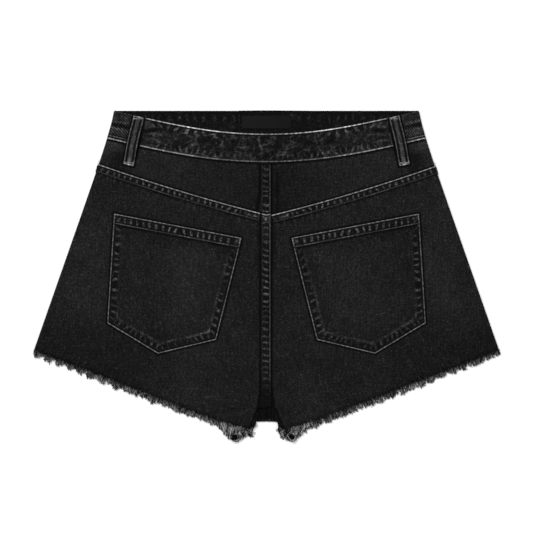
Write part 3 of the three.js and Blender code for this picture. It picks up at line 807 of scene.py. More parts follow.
def crotch_shade(hand, across, down):
    """The dark valley beside the centre seam where it sinks between the legs, from 0 to 1."""
    edge = 0.2 + 3.6 * smooth(312, CROTCH_POINT, down)
    outside = from_seam(hand, across)
    beside = np.where(down < CROTCH_POINT, outside - edge, across - leg_at(down) - 1.6)
    dark = fade(-0.2, 2.4, beside) * smooth(298, 326, down)
    on_seam = fade(-0.4, 0.4, outside) * (1 - apart(down))
    return dark * (1 - on_seam) + on_seam * 0.75 * smooth(300, 334, down)


# Where the yoke seam is worn light beside the centre: how far across, and half its width
SEAM_BLOBS = {-1: ((12.5, 2.6), (20.0, 2.2)), 1: ((20.5, 4.4),)}


def back_panel(side, hand):
    seam_end = FELL_WIDTH + FELL_STEP
    point = YOKE_SEAM[hand]["point"]
    reach = HEM_INNER_DOWN - point - seam_end
    share_at = lambda down: (down - point - seam_end) / reach
    shares = np.unique(np.concatenate([np.linspace(0, 1, 126), share_at(np.arange(336, 346, 0.5))]))
    points, across, down = lay_out(
        hand,
        yoke_at(hand),
        hem_at,
        centre_edge(hand),
        back_start(hand),
        rows((0, [0]), *((step, [0]) for step in np.arange(0.6, seam_end, 0.8)), (seam_end, shares)),
        columns(
            (ROUND_INNER, fold_angles(7)),
            (INWARD, seam_steps(hand, FOLD_RADIUS + SEAM_PITCH)),
            (SHARE, BACK_SHARES),
            (ROUND_SIDE, fold_angles(10, -1)),
        ),
        FOLD_RADIUS,
        back_height,
        legs=apart,
    )
    below = down - yoke_at(hand)(across)
    on_seam = fade(FELL_WIDTH, FELL_WIDTH + FELL_STEP, below)
    x = hand * across
    off_centre = smooth(1, 3.4, from_seam(hand, across))
    window = smooth(1.8, 3.0, below) * fade(FELL_WIDTH - 2.8, FELL_WIDTH - 1.4, below) * off_centre
    seam_puckers = puckers(across, below, 7.0, -0.35, 41, (0.62 + 0.2 * bell(across, 70)) * window)
    middle = centre_puckers(hand, across, down)
    above_hem = hem_at(across) - down
    low_puckers = puckers(across, below, 8.5, -0.4, 47, 0.14 * bell(below - 13, 2.6))
    phase, ladder = strongest([seam_puckers, middle, low_puckers])
    lapped = FELL * on_seam * (0.72 + 0.28 * smooth(0, 0.8, below))
    raises = np.maximum(lapped, centre_raise(hand, across, down))
    raises += 0.3 * relief(phase, ladder)
    raises += 0.1 * relief(*puckers(across, above_hem, 9, 0.1, 53, bell(above_hem - 2.5, 2.5)))
    near_centre = bell(across, 34) * fade(200, 260, down)
    patchy = smooth(-0.2, 0.5, noise(across / 13, 0.5, 43))
    distance, worn, along = nearest_line([
        (below + 0.1, 0.5 + 0.16 * near_centre, across + 300),
        (FELL_WIDTH - 0.3 - below, (0.1 + 0.12 * patchy) * off_centre, across),
        *centre_lines(hand, across, down),
    ])
    shade = crotch_shade(hand, across, down)
    outer_side = bell(across - 205, 34) * bell(down - 215, 60)
    lighter_right = bell(across - 190, 34) * bell(down - 125, 60) * (hand > 0)
    tone = TONE["cloth"] + patches(x, down, 61 + hand) + 0.008 * outer_side - 0.003
    tone += 0.015 * lighter_right
    tone -= 0.005 * bell(across, 50) + 0.02 * smooth(215, 262, down) * smooth(110, 180, across)
    # Painted shadow: a dark band just above the fringed hem, and a thin darker line just below the yoke
    # seam's lapped band.
    tone -= 0.05 * bell(above_hem, 3.6) + 0.015 * bell(below - 11.3, 1.4)
    # Painted shadow: dark lines beside the raised centre seam, a broad one above 170 to 200 mm down and a
    # narrow one at its edge.
    beside_seam = from_seam(hand, across)
    tone -= 0.03 * bell(beside_seam - 2.6, 2.6) * fade(170, 200, down) + 0.15 * bell(beside_seam - 0.7, 1.0)
    tone = lerp(tone, 0.02, 0.92 * shade)
    wear_and_highlight = np.maximum(0.04 * layered(x / 26, down / 26, 71), 0) * (1 - shade)
    for middle_of, half in SEAM_BLOBS[hand]:
        wear_and_highlight += 0.55 * bell(across - middle_of, half) * bell(below - 5.2, 1.5)
    crossing = bell(x + 0.6, 2.2) * bell(below - 5.6, 2.2) * (hand < 0)
    wear_and_highlight += 0.8 * crossing
    attributes = denim_attributes(
        cloth_place(points, down, 40 + 10 * hand),
        tone,
        wear_and_highlight,
        (distance, worn, along),
        (phase, ladder * (1 - shade)),
        # rim: painted shadow on the panel just outside the pocket's edge.
        rim=np.minimum(np.maximum(outside_pocket(across, down), 0), FAR),
    )
    piece = shell("back_panel_" + side, points, CLOTH, raises, 1, attributes, denim)
    dress(piece, ["back_" + side])
    declare(points)


def yoke(side, hand):
    points, across, down = lay_out(
        hand,
        lambda a: band_low_at(a) + GAP,
        lambda a: yoke_at(hand)(a) - GAP,
        lambda _: centre_lap(hand),
        back_start(hand),
        rows((0, np.linspace(0, 1, 52))),
        columns(
            (INWARD, seam_steps(hand)),
            (SHARE, BACK_SHARES),
            (ROUND_SIDE, fold_angles(10, -1)),
        ),
        FOLD_RADIUS,
        back_height,
    )
    x = hand * across
    above = yoke_at(hand)(across) - down
    below_band = down - band_low_at(across)
    outside = from_seam(hand, across)
    off_centre = smooth(1, 5, outside)
    phase, ladder = strongest([
        centre_puckers(hand, across, down),
        puckers(across, above, 7.4, 0.5, 83, 0.12 * bell(above - 3.4, 1.8) * off_centre),
        puckers(across, below_band, 7.6, 0.3, 89, 0.12 * bell(below_band - 3.4, 1.8) * off_centre),
    ])
    if hand < 0:
        trough = bell(outside - 1.2 - 3.4 * smooth(90, 116, down), 1.5)
    else:
        trough = 1.2 * bell(outside - 0.7, 1.1) + 0.5 * bell(outside - 7.6, 1.4) * smooth(62, 80, down)
    raises = centre_raise(hand, across, down) + 0.25 * relief(phase, ladder) - 0.2 * trough
    distance, worn, along = nearest_line(centre_lines(hand, across, down))
    tone = TONE["cloth"] + patches(x, down, 61 + hand)
    tone += 0.01 * bell(across - 190, 45)
    # Painted shade: darker in the troughs beside the centre seam and beside the belt loop's lower part.
    tone -= 0.13 * trough + 0.05 * bell(across - 169, 11) * smooth(44, 52, down) * fade(66, 84, down)
    tone -= 0.026 * bell(across, 36)
    at_side = smooth(162, 178, across) * bell(below_band - 1, 9)
    wear_and_highlight = np.maximum(0.04 * layered(x / 26, down / 26, 71), 0)
    tone += 0.035 * at_side
    attributes = denim_attributes(
        cloth_place(points, down, 70 + 10 * hand),
        tone,
        wear_and_highlight,
        (distance, worn, along),
        (phase, ladder),
        # rim: painted shadow on the yoke beside the yoke seam's lap, under the band's lower edge and around
        # the belt loop.
        rim=np.minimum(np.minimum(above + 0.1, below_band - 0.3), outside_loop(across, down)),
        twill=at_side,
    )
    piece = shell("yoke_panel_" + side, points, CLOTH, raises, 1, attributes, denim)
    dress(piece, ["yoke_" + side])
    declare(points)


BAND_CREASES = [
    {"across": 170, "level": 15.5, "slope": 0, "half": 11, "width": 3.2, "depth": 0.45},
    {"across": 131, "level": 13, "slope": 0.25, "half": 9, "width": 3.4, "depth": 0.4},
]


def waistband_back():
    halves = []
    for _, hand in SIDES:
        halves.append(
            lay_out(
                hand,
                back_top_at,
                band_low_at,
                lambda _: 0,
                back_start(hand),
                rows((0, np.unique(np.concatenate([np.linspace(0, 1, 38), [0.013, 0.04, 0.96, 0.987]])))),
                columns(
                    (INWARD, np.arange(0 if hand > 0 else 1.5, 24, 1.5)),
                    (SHARE, BACK_SHARES),
                    (ROUND_SIDE, fold_angles(10, -1)),
                ),
                BAND_FOLD,
                band_height,
            )
        )
    (left, right) = halves
    points, across, down = (np.concatenate([a[:, ::-1], b], axis=1) for a, b in zip(left, right))
    x = points[..., 0]
    level = down - back_top_at(across)
    from_low = band_low_at(across) - down
    raises = np.zeros_like(across)
    crease_shade = np.zeros_like(across)
    crease_highlight = np.zeros_like(across)
    for crease in BAND_CREASES:
        out = across - crease["across"]
        off = level - crease["level"] - crease["slope"] * out
        trough = bell(out, crease["half"]) * bell(off, crease["width"])
        raises -= crease["depth"] * trough
        crease_shade += bell(out, crease["half"]) * bell(off, crease["width"] * 0.5)
        crease_highlight += bell(out, crease["half"]) * bell(np.abs(off) - crease["width"] * 1.3, 1.4)
    out_of_centre = 0.45 + 0.55 * smooth(14, 60, across)
    upper = puckers(across, level, 10.4, 0.4, 101, 0.66 * bell(level - 5.4, 3.0) * out_of_centre)
    lower = puckers(across, from_low, 6.6, 0.1, 97, 0.5 * bell(from_low - 6.0, 3.2) * out_of_centre)
    phase, ladder = strongest([upper, lower])
    between = fade(118, 150, across)
    ladder = ladder * (0.2 + 0.8 * between)
    ripple = layered(x / 15, level / 9, 103)
    raises += 0.3 * relief(phase, ladder) + 0.14 * ripple
    edge = np.minimum(smooth(0, 1.0, level), smooth(0, 1.0, from_low))
    raises -= 0.35 * (1 - edge)
    centre = bell(x + 9.6 - 0.19 * level, 0.9) * smooth(3, 6, level) * fade(22, 27, level)
    raises += 0.2 * centre
    middle_way = bell(across - 75, 42)
    distance, worn, along = nearest_line([
        (level + 0.1, (0.42 + 0.42 * middle_way) * fade(136, 150, across) + 0.08, x),
        (from_low, 0.34 + 0.2 * smooth(30, 140, across), x + 700),
        (from_low - 3.4, 0.26 * smooth(160, 166, across), x + 900),
    ])
    blotch = layered(x / 6.5, level / 5, 109, 2)
    wear_and_highlight = 0.01 + 0.2 * smooth(0.1, 0.8, blotch) + 0.08 * smooth(-0.1, 0.6, layered(x / 22, level / 16, 111))
    wear_and_highlight *= 0.5 + 0.5 * between
    at_side = smooth(150, 160, across)
    wear_and_highlight += 0.12 * at_side * (0.85 + 0.5 * blotch)
    # Painted highlight on the ridges beside each crease is added to the wear, and painted shade in each
    # crease takes wear away.
    wear_and_highlight += 0.3 * crease_highlight + 0.5 * centre
    wear_and_highlight -= 0.5 * crease_shade
    run = layered(x / 34, level / 5, 113, 2)
    # Painted shade darkens each crease.
    tone = TONE["cloth"] - 0.014 + patches(x, down, 127) - 0.08 * crease_shade
    tone -= 0.03 * smooth(0.05, 0.6, -blotch)
    tone -= 0.035 * smooth(0, 0.6, run) * bell(level - 0.5 * BAND_HEIGHT, 8) + 0.024 * bell(across, 38)
    attributes = denim_attributes(
        cloth_place(points, down, 10),
        tone,
        np.maximum(wear_and_highlight, 0),
        (distance, worn, along),
        (phase, ladder),
        # rim: painted shadow on the band around the belt loop.
        rim=outside_loop(across, down),
        twill=at_side,
        veins=1 - 0.8 * at_side,
    )
    piece = shell("waistband_back_outer", points, BAND, raises, 1, attributes, denim)
    dress(piece, ["waistband_back"])
    declare(points)


# The front's pieces, underneath


def front_start(down):
    return 54.0 + 0 * down


def waistband_front(side, hand):
    end = -OVERLAP_END if hand < 0 else -UNDERLAP_END
    stack = 0 if hand < 0 else BAND_STACK
    height = lambda a, d: front_height(a, d) + lap_lift(a, d, stack)
    points, across, down = lay_out(
        hand,
        lambda a: 0 * a,
        lambda a: BAND_HEIGHT + 0 * a,
        lambda _: end,
        front_start,
        rows((0, np.unique(np.concatenate([np.linspace(0, 1, 20), [0.03, 0.97]])))),
        columns(
            (INWARD, np.linspace(0, 52 - end, 44)),
            (SHARE, np.linspace(0, 1, 62)[:-1]),
            (ROUND_SIDE, fold_angles(10, -1)),
        ),
        BAND_FOLD,
        height,
        way=-1,
    )
    x = hand * across
    from_low = BAND_HEIGHT - down
    edge = np.minimum(smooth(0, 1.2, down), smooth(0, 1.2, from_low))
    raises = -0.3 * (1 - edge)
    phase, ladder = puckers(across, down, 10.2, 0.1, 133, 0.26 * bell(down - 8.5, 4.0))
    distance, worn, along = nearest_line([
        (from_low, 0.35, x + 700),
        (across - end, 0.04, down),
    ])
    blotch = layered(x / 10, down / 8, 137, 3)
    # Painted shade: the front band's inner face, inside the waist, starts from the darker inside tone.
    tone = TONE["inside"] + 0.6 * patches(x, down, 139) - 0.02 * bell(down - 3.4, 1.6)
    tone -= 0.06 * bell(down, 1.3)
    wear_and_highlight = 0.2 * smooth(0.1, 0.8, blotch)
    attributes = denim_attributes(
        cloth_place(points, down, 100 + 10 * hand),
        tone,
        wear_and_highlight,
        (distance, worn, along),
        (phase, ladder),
    )
    piece = shell("waistband_front_panel_" + side, points, BAND, raises, -1, attributes, denim)
    dress(piece, ["waistband_front_" + side])
    declare(points)


def front_edge(hand):
    end = GAP / 2 if hand < 0 else -UNDERLAP_END

    def edge(down):
        seam = lerp(end, GAP / 2, smooth(FLY["length"] - FLY["curve"], FLY["length"], down))
        return np.where(down < CROTCH - 1, seam, leg_at(down))

    return edge


def front_panel(side, hand):
    top = BAND_HEIGHT + GAP
    stack = 0 if hand < 0 else CLOTH_STACK
    height = lambda a, d: front_height(a, d) + lap_lift(a, d, stack)
    reach = HEM_INNER_DOWN - top
    downs = np.concatenate([
        np.arange(top, 354, 3.4),
        [CROTCH - CROTCH_FOLD, CROTCH + 0.1],
        np.arange(358.5, HEM_INNER_DOWN, 2.4),
        [HEM_INNER_DOWN],
    ])
    inner = front_edge(hand)
    kinds, values = columns(
        (ROUND_INNER, fold_angles(6)),
        (SHARE, -1 + np.linspace(0.02, 1, 40)[:-1]),
        (SHARE, np.linspace(0, 1, 62)[:-1]),
        (ROUND_SIDE, fold_angles(10, -1)),
    )
    points, across, down = lay_front(hand, hem_at, inner, (downs - top) / reach, kinds, values, height)
    x = hand * across
    below = down - top
    above_hem = hem_at(across) - down
    distance, worn, along = nearest_line([
        (across - inner(down), 0.25 * (down < CROTCH - 2), down),
        (below, 0.25, x + 500),
    ])
    # Painted shadow: a dark band just above the hem. Painted shade: near the inner edge, low down between the
    # legs, the cloth goes near black.
    tone = TONE["cloth"] + patches(x, down, 151 + hand) - 0.035 * bell(above_hem, 2.2)
    tone = lerp(tone, 0.02, bell(np.maximum(0, across - leg_at(down)), 7) * smooth(330, 350, down))
    phase, ladder = puckers(across, below, 7, 0.3, 157, 0.3 * bell(below - 3.4, 2.0))
    wear_and_highlight = 0.06 * smooth(0.1, 0.8, layered(x / 30, down / 30, 163))
    attributes = denim_attributes(
        cloth_place(points, down, 130 + 10 * hand),
        tone,
        wear_and_highlight,
        (distance, worn, along),
        (phase, ladder),
    )
    piece = shell("front_panel_" + side, points, CLOTH, np.zeros_like(across), -1, attributes, denim)
    dress(piece, ["front_" + side])
    declare(points)


def lay_front(hand, bottom, inner, shares, kinds, values, height):
    """The front's grid. A share below 0 lies between the inner fold and the even columns."""
    share = np.asarray(shares)[:, None]
    across = np.full((len(share), len(kinds)), 100.0)
    top = BAND_HEIGHT + GAP
    for _ in range(PLACE_STEPS):
        down = lerp(top, bottom(across), share)
        edge = inner(down)
        end = side_at(down) - FOLD_RADIUS
        start = front_start(down)
        inside = edge + FOLD_RADIUS
        near = lerp(inside, start, 1 + values)
        places = [
            edge + FOLD_RADIUS * (1 - np.cos(values)),
            near,
            np.where(values < 0, near, lerp(start, end, values)),
            end + FOLD_RADIUS * np.cos(values),
        ]
        across = np.choose(np.broadcast_to(kinds, across.shape), places)
    drop = np.zeros_like(across)
    at_side = kinds == ROUND_SIDE
    drop[:, at_side] = FOLD_RADIUS * (1 - np.sin(values[at_side]))
    at_leg = kinds == ROUND_INNER
    legs = (down[:, at_leg] >= CROTCH - 1) * 1.0
    drop[:, at_leg] = legs * FOLD_RADIUS * (1 - np.sin(values[at_leg]))
    z = height(across, down) + drop
    return np.stack([hand * across, HALF_LENGTH - down, z], -1), across, down


FOLD_LAP = 1.8  # how far the left fold is tucked behind the right one


def crotch_fold(side, hand):
    """Between the legs the front folds up to the back."""
    centre = CROTCH - CROTCH_FOLD
    turns = np.radians(np.linspace(-90, 90, 15))
    flap = np.linspace(FLAP_LOW, CROTCH_POINT - FLAP_TUCK, 10)
    downs = [centre - 3, *(centre + CROTCH_FOLD * np.cos(turns)), *flap]
    heights = [0, *(CROTCH_FOLD * (1 + np.sin(turns))), *([2 * CROTCH_FOLD] * len(flap))]
    down = np.array(downs)[:, None]
    share = np.linspace(0, 1, 24)[None]
    middle = -FOLD_LAP if hand < 0 else GAP / 2
    across = lerp(middle, leg_at(down) - 0.02, share)
    down = np.broadcast_to(down, across.shape)
    z = np.broadcast_to(np.array(heights)[:, None], across.shape)
    points = np.stack([hand * across, HALF_LENGTH - down, z], -1)
    normals = fold_normals(points)
    tucked = (CLOTH + 0.25) * fade(-0.2, 0.9, across) * (hand < 0)
    points = points - normals * tucked[..., None]
    pleat = (0.5 + 0.5 * np.cos(across * 1.5 + 0.6 + hand)) * smooth(0, 2.0, z)
    light_edge = bell(down - (CROTCH - 1.6), 1.6)
    attributes = denim_attributes(
        cloth_place(points, down, 170 + 10 * hand),
        # Painted shade: the fold between the legs is near black, lighter on its pleats' ridges as painted
        # highlight.
        0.012 + 0.04 * pleat**2,
        0.5 * light_edge * (0.4 + 0.6 * pleat) * fade(6, 11, across),
        (FAR, 0, 0),
        (0, 0),
    )
    piece = shell("crotch_fold_" + side, points, CLOTH, 0.25 * pleat - 0.12, 1, attributes, denim, normals)
    dress(piece, [])
    declare(points)


def fold_normals(points):
    n = np.cross(np.gradient(points, axis=0), np.gradient(points, axis=1))
    n /= np.linalg.norm(n, axis=-1, keepdims=True)
    return n if n[len(n) // 2, 0, 1] < 0 else -n


# Pockets


def pocket_grid():
    u = np.unique(np.concatenate([np.linspace(0, 1, 84), np.linspace(0, 0.05, 8), np.linspace(0.95, 1, 8)]))
    v = np.unique(np.concatenate([np.linspace(0, 1, 84), np.linspace(0, 0.1, 17), np.linspace(0.95, 1, 8)]))
    return u[None, :, None], v[:, None, None]


# Of the puckers along each edge below the pocket's mouth
RUNG_SPACING = (8.6, 7.0, 7.0, 8.6)
RUNG_STRENGTH = (0.56, 0.5, 0.5, 0.5)


def pocket(side, hand):
    u, v = pocket_grid()
    before_tip = lerp(POCKET_LOW_INNER, POCKET_TIP, u / POCKET_TIP_SHARE)
    after_tip = lerp(POCKET_TIP, POCKET_LOW_OUTER, (u - POCKET_TIP_SHARE) / (1 - POCKET_TIP_SHARE))
    low = np.where(u < POCKET_TIP_SHARE, before_tip, after_tip)
    high = lerp(POCKET_TOP_INNER, POCKET_TOP_OUTER, u)
    spot = lerp(high, low, v)
    across = spot[..., 0]
    down = spot[..., 1]
    share_down = np.broadcast_to(v[..., 0], across.shape)
    gape = POCKET_GAPE * np.sin(np.pi * u[..., 0]) * (1 - share_down) ** 4
    z = back_height(across, down) + GAP + CLOTH + gape
    points = np.stack([hand * across, HALF_LENGTH - down, z], -1)
    x = hand * across
    edges = pocket_distances(across, down)
    top, _, low_outer, low_inner, inner = edges
    hem = fade(POCKET_HEM_EDGE - 0.5, POCKET_HEM_EDGE + 0.5, top[0])
    sets = []
    for k, (off, along) in enumerate(edges[1:]):
        window = smooth(2.8, 4.2, off) * fade(8.2, 10.2, off)
        sets.append(puckers(along, off, RUNG_SPACING[k], 0.1, 171 + k, RUNG_STRENGTH[k] * window))
    window = smooth(2.4, 3.4, top[0]) * fade(POCKET_HEM_EDGE - 3.6, POCKET_HEM_EDGE - 1.8, top[0])
    sets.append(puckers(top[1], top[0], 7.6, 0.25, 181, 0.7 * window))
    nearest = np.min([off for off, _ in edges], axis=0)
    for k, (off, _) in enumerate(edges):
        phase_k, amount_k = sets[k - 1]
        sets[k - 1] = (phase_k, amount_k * fade(nearest + 0.8, nearest + 3.0, off))
    phase, ladder = strongest(sets)
    raises = POCKET_HEM_RAISE * hem + 0.24 * relief(phase, ladder)
    raises -= 0.35 * fade(0, 1.0, nearest)
    raises += 0.1 * layered(x / 21, down / 21, 191) * smooth(6, 16, nearest)
    strength = (0.4, 0.36, 0.46, 0.46, 0.36)
    lines = [(off + 0.2, strength[k], along + 200 * k) for k, (off, along) in enumerate(edges)]
    row_worn = 0.14 + 0.14 * smooth(-0.2, 0.5, noise(top[1] / 11, 0.5, 187))
    lines.append((POCKET_HEM_EDGE - 0.2 - top[0], row_worn, top[1] + 31))
    distance, worn, along = nearest_line(lines)
    below_hem = smooth(POCKET_HEM_EDGE, POCKET_HEM_EDGE + 2, top[0])
    tone = TONE["cloth"] + 0.002 + patches(x, down, 61 + hand)
    tone += 0.012 * bell(across - 75, 40) * bell(down - 180, 34) - 0.012 * fade(14, 30, nearest)
    inner_row = bell(nearest - 10.6, 0.9) * smooth(POCKET_HEM_EDGE + 6, POCKET_HEM_EDGE + 14, top[0])
    by_low_edge = fade(12, 18, np.minimum(low_outer[0], low_inner[0]))
    by_inner = bell(inner[0] - 10.6, 1.4)
    row_share = 0.12 + 0.4 * by_low_edge + 0.26 * by_inner
    wear_and_highlight = row_share * inner_row * np.clip(0.7 + layered(x / 7, down / 7, 193), 0, 1.5)
    wear_and_highlight += np.maximum(0.04 * layered(x / 26, down / 26, 71), 0)
    wear_and_highlight += 0.6 * sum(bell(np.hypot(across - a, down - b), 2.4) for a, b in POCKET_TACKS)
    tone -= 0.02 * bell(nearest - 5.5, 3.6) * below_hem + 0.02 * bell(top[0] - POCKET_HEM_EDGE - 1.6, 1.4)
    attributes = denim_attributes(
        np.stack([across, down + 0.19 * across, np.full_like(across, 200 + 10 * hand)], -1),
        tone,
        wear_and_highlight,
        (distance, worn, along),
        (phase, ladder),
    )
    piece = shell("patch_pocket_" + side, points, CLOTH, raises, 1, attributes, denim)
    dress(piece, ["pocket_" + side])
    declare(points)


# Belt loops


def loop_surface(hand, t, side_share_of_width):
    top_down = back_top_at(LOOP["top_across"]) + GAP
    length = math.hypot(LOOP["low_across"] - LOOP["top_across"], LOOP["low_down"] - top_down)
    lean = (LOOP["low_across"] - LOOP["top_across"]) / length
    upright = (LOOP["low_down"] - top_down) / length
    tack = LOOP_ARCH["tack"] / length
    rise = np.sin(np.pi * smooth(tack, 1 - tack, t))
    arch = LOOP_ARCH["height"] * np.clip(rise, 0, 1) ** LOOP_ARCH["roundness"]
    off = side_share_of_width * LOOP["width"]
    across = lerp(LOOP["top_across"], LOOP["low_across"], t) + off * upright
    down = lerp(top_down, LOOP["low_down"], t) - off * lean
    under = back_height(across, down) + BAND_EXTRA * fade(*LOOP_STEP_DOWN, t)
    z = under + GAP + LOOP["thickness"] + arch
    return np.stack([hand * across, HALF_LENGTH - down, z], -1), length


def belt_loop(side, hand):
    bends = [np.linspace(0.08, 0.2, 12), np.linspace(0.8, 0.92, 12)]
    t = np.unique(np.concatenate([np.linspace(0, 1, 70), *bends]))
    w = np.linspace(-0.5, 0.5, 19)
    t, w = np.broadcast_arrays(t[:, None], w[None])
    points, length = loop_surface(hand, t, w)
    off = w * LOOP["width"]
    along = t * length
    edge = LOOP["width"] / 2 - np.abs(off)
    tacks = np.maximum(bell(along - 2.2, 1.6), bell(along - length + 2.2, 1.6))
    phase, ladder = puckers(along, off, 4.2, 0.5, 211, 0.18 * bell(edge - 3.2, 0.8))
    raises = 0.18 * relief(phase, ladder) - 0.35 * fade(0, 0.9, edge) + 0.1 * bell(off, 2.0)
    end = np.minimum(along, length - along)
    distance, worn, place = nearest_line([
        (edge, 0.32, along + 90 * np.sign(off)),
        (end, 0.42, off),
    ])
    strip = fade(1.2, 3.0, np.abs(off)) * np.clip(0.85 + 0.5 * layered(off / 2, along / 5, 223), 0.3, 1.4)
    lighter_below = 0.8 + 0.3 * smooth(0.3, 0.95, t)
    wear_and_highlight = (0.12 * strip + 0.5 * tacks) * lighter_below
    attributes = denim_attributes(
        np.stack([off, along, np.full_like(off, 260 + 10 * hand)], -1),
        TONE["cloth"] - 0.03 - 0.06 * bell(edge - 2.1, 0.9) + 0.15 * strip * lighter_below,
        wear_and_highlight,
        (distance, worn, place),
        (phase, ladder),
    )
    piece = shell("belt_loop_strip_" + side, points, LOOP["thickness"], raises, 1, attributes, denim)
    dress(piece, ["belt_loop_" + side])
    declare(points)


def label():
    across = np.linspace(-LABEL["half"], LABEL["half"], 60)[None]
    down = np.linspace(LABEL["top"], LABEL["low"], 20)[:, None]
    across, down = np.broadcast_arrays(across, down)
    under = front_height(across, down) + lap_lift(across, down, BAND_STACK) + BAND
    points = np.stack([across, HALF_LENGTH - down, under + STACK_GAP + LABEL["thickness"]], -1)
    end = LABEL["half"] - np.abs(across)
    edge = np.minimum(end, np.minimum(down - LABEL["top"], LABEL["low"] - down))
    raises = -0.4 * fade(0, 0.8, edge) + 0.05 * layered(across / 9, down / 7, 227)
    raises += 0.05 * bell(end - 3.4, 1.0)
    attributes = {
        "cloth": np.stack([across, down, np.zeros_like(across)], -1),
        "line": edge,
    }
    piece = shell("label_satin_patch", points, LABEL["thickness"], raises, 1, attributes, satin)
    dress(piece, ["label"])
    declare(points)


def button():
    radius = BUTTON["radius"]
    top = BUTTON_LIFT - GAP
    profile = [
        (0.0, 0.45), (1.6, 0.45), (2.1, 0.25), (2.7, 0.45), (4.9, 0.5), (5.4, 0.2), (5.9, 0.05), (7.0, 0.0),
        (7.9, 0.12), (8.4, 0.45), (radius, 0.8), (8.4, 1.2), (7.8, 1.5), (6.6, BUTTON["height"]),
        (BUTTON["shank"], BUTTON["height"]), (BUTTON["shank"] - 0.1, top), (0.0, top),
    ]
    turns = 64
    middle = HALF_LENGTH - BUTTON["down"]
    vertices = []
    faces = []
    for r, z in profile:
        for k in range(turns):
            a = 2 * math.pi * k / turns
            vertices.append((r * math.cos(a) * MM, (middle + r * math.sin(a)) * MM, z * MM))
    for i in range(1, len(profile) - 2):
        for k in range(turns):
            k2 = (k + 1) % turns
            faces.append((i * turns + k, i * turns + k2, (i + 1) * turns + k2, (i + 1) * turns + k))
    first = len(vertices)
    vertices += [(0, middle * MM, profile[0][1] * MM), (0, middle * MM, top * MM)]
    last = (len(profile) - 2) * turns
    for k in range(turns):
        k2 = (k + 1) % turns
        faces.append((turns + k2, turns + k, first))
        faces.append((last + k, last + k2, first + 1))
    used = sorted({i for face in faces for i in face})
    renumber = {old: new for new, old in enumerate(used)}
    mesh = bpy.data.meshes.new("button_turned")
    mesh.from_pydata([vertices[i] for i in used], [], [[renumber[i] for i in f][::-1] for f in faces])
    mesh.polygons.foreach_set("use_smooth", np.ones(len(faces), bool))
    piece = new_object("button_turned", mesh, metal)
    dress(piece, ["button"])


# Threads: many small tubes in one mesh


def tubes(name, paths, radii, tones, material, sides=3):
    """paths is (tubes, points, 3) in millimetres, radii and tones (tubes, points)."""
    count, steps = radii.shape
    run = np.gradient(paths, axis=1)
    run /= np.maximum(np.linalg.norm(run, axis=-1, keepdims=True), 1e-9)
    up = np.array([0.0, 0.0, 1.0])
    side = np.cross(run, up)
    weak = np.linalg.norm(side, axis=-1, keepdims=True)
    side = np.where(weak > 1e-3, side / np.maximum(weak, 1e-9), np.array([1.0, 0.0, 0.0]))
    over = np.cross(side, run)
    ways = 2 * np.pi * np.arange(sides) / sides + np.pi / 6
    ring = (
        side[:, :, None, :] * np.cos(ways)[None, None, :, None]
        + over[:, :, None, :] * np.sin(ways)[None, None, :, None]
    )
    vertices = paths[:, :, None, :] + ring * radii[:, :, None, None]
    base = (np.arange(count) * steps * sides)[:, None, None]
    step = (np.arange(steps - 1) * sides)[None, :, None]
    j = np.arange(sides)[None, None, :]
    k = (j + 1) % sides
    quads = np.stack([base + step + j, base + step + j + sides, base + step + k + sides, base + step + k], -1)
    faces = quads.reshape(-1, 4).tolist()
    caps = np.arange(sides)[None] + (np.arange(count) * steps * sides)[:, None]
    faces += caps.tolist()
    faces += (caps[:, ::-1] + (steps - 1) * sides).tolist()
    mesh = bpy.data.meshes.new(name)
    mesh.from_pydata((vertices.reshape(-1, 3) * MM).tolist(), [], faces)
    mesh.polygons.foreach_set("use_smooth", np.ones(len(faces), bool))
    add_attributes(mesh, {"tone": np.repeat(tones.reshape(-1), sides)})
    return new_object(name, mesh, material)


def resample(points, pitch):
    """Even steps along a line of points."""
    lengths = np.concatenate([[0], np.cumsum(np.linalg.norm(np.diff(points, axis=0), axis=1))])
    count = max(2, int(lengths[-1] / pitch))
    even = np.linspace(0, lengths[-1], count + 1)
    return np.stack([np.interp(even, lengths, points[:, k]) for k in range(points.shape[1])], -1)


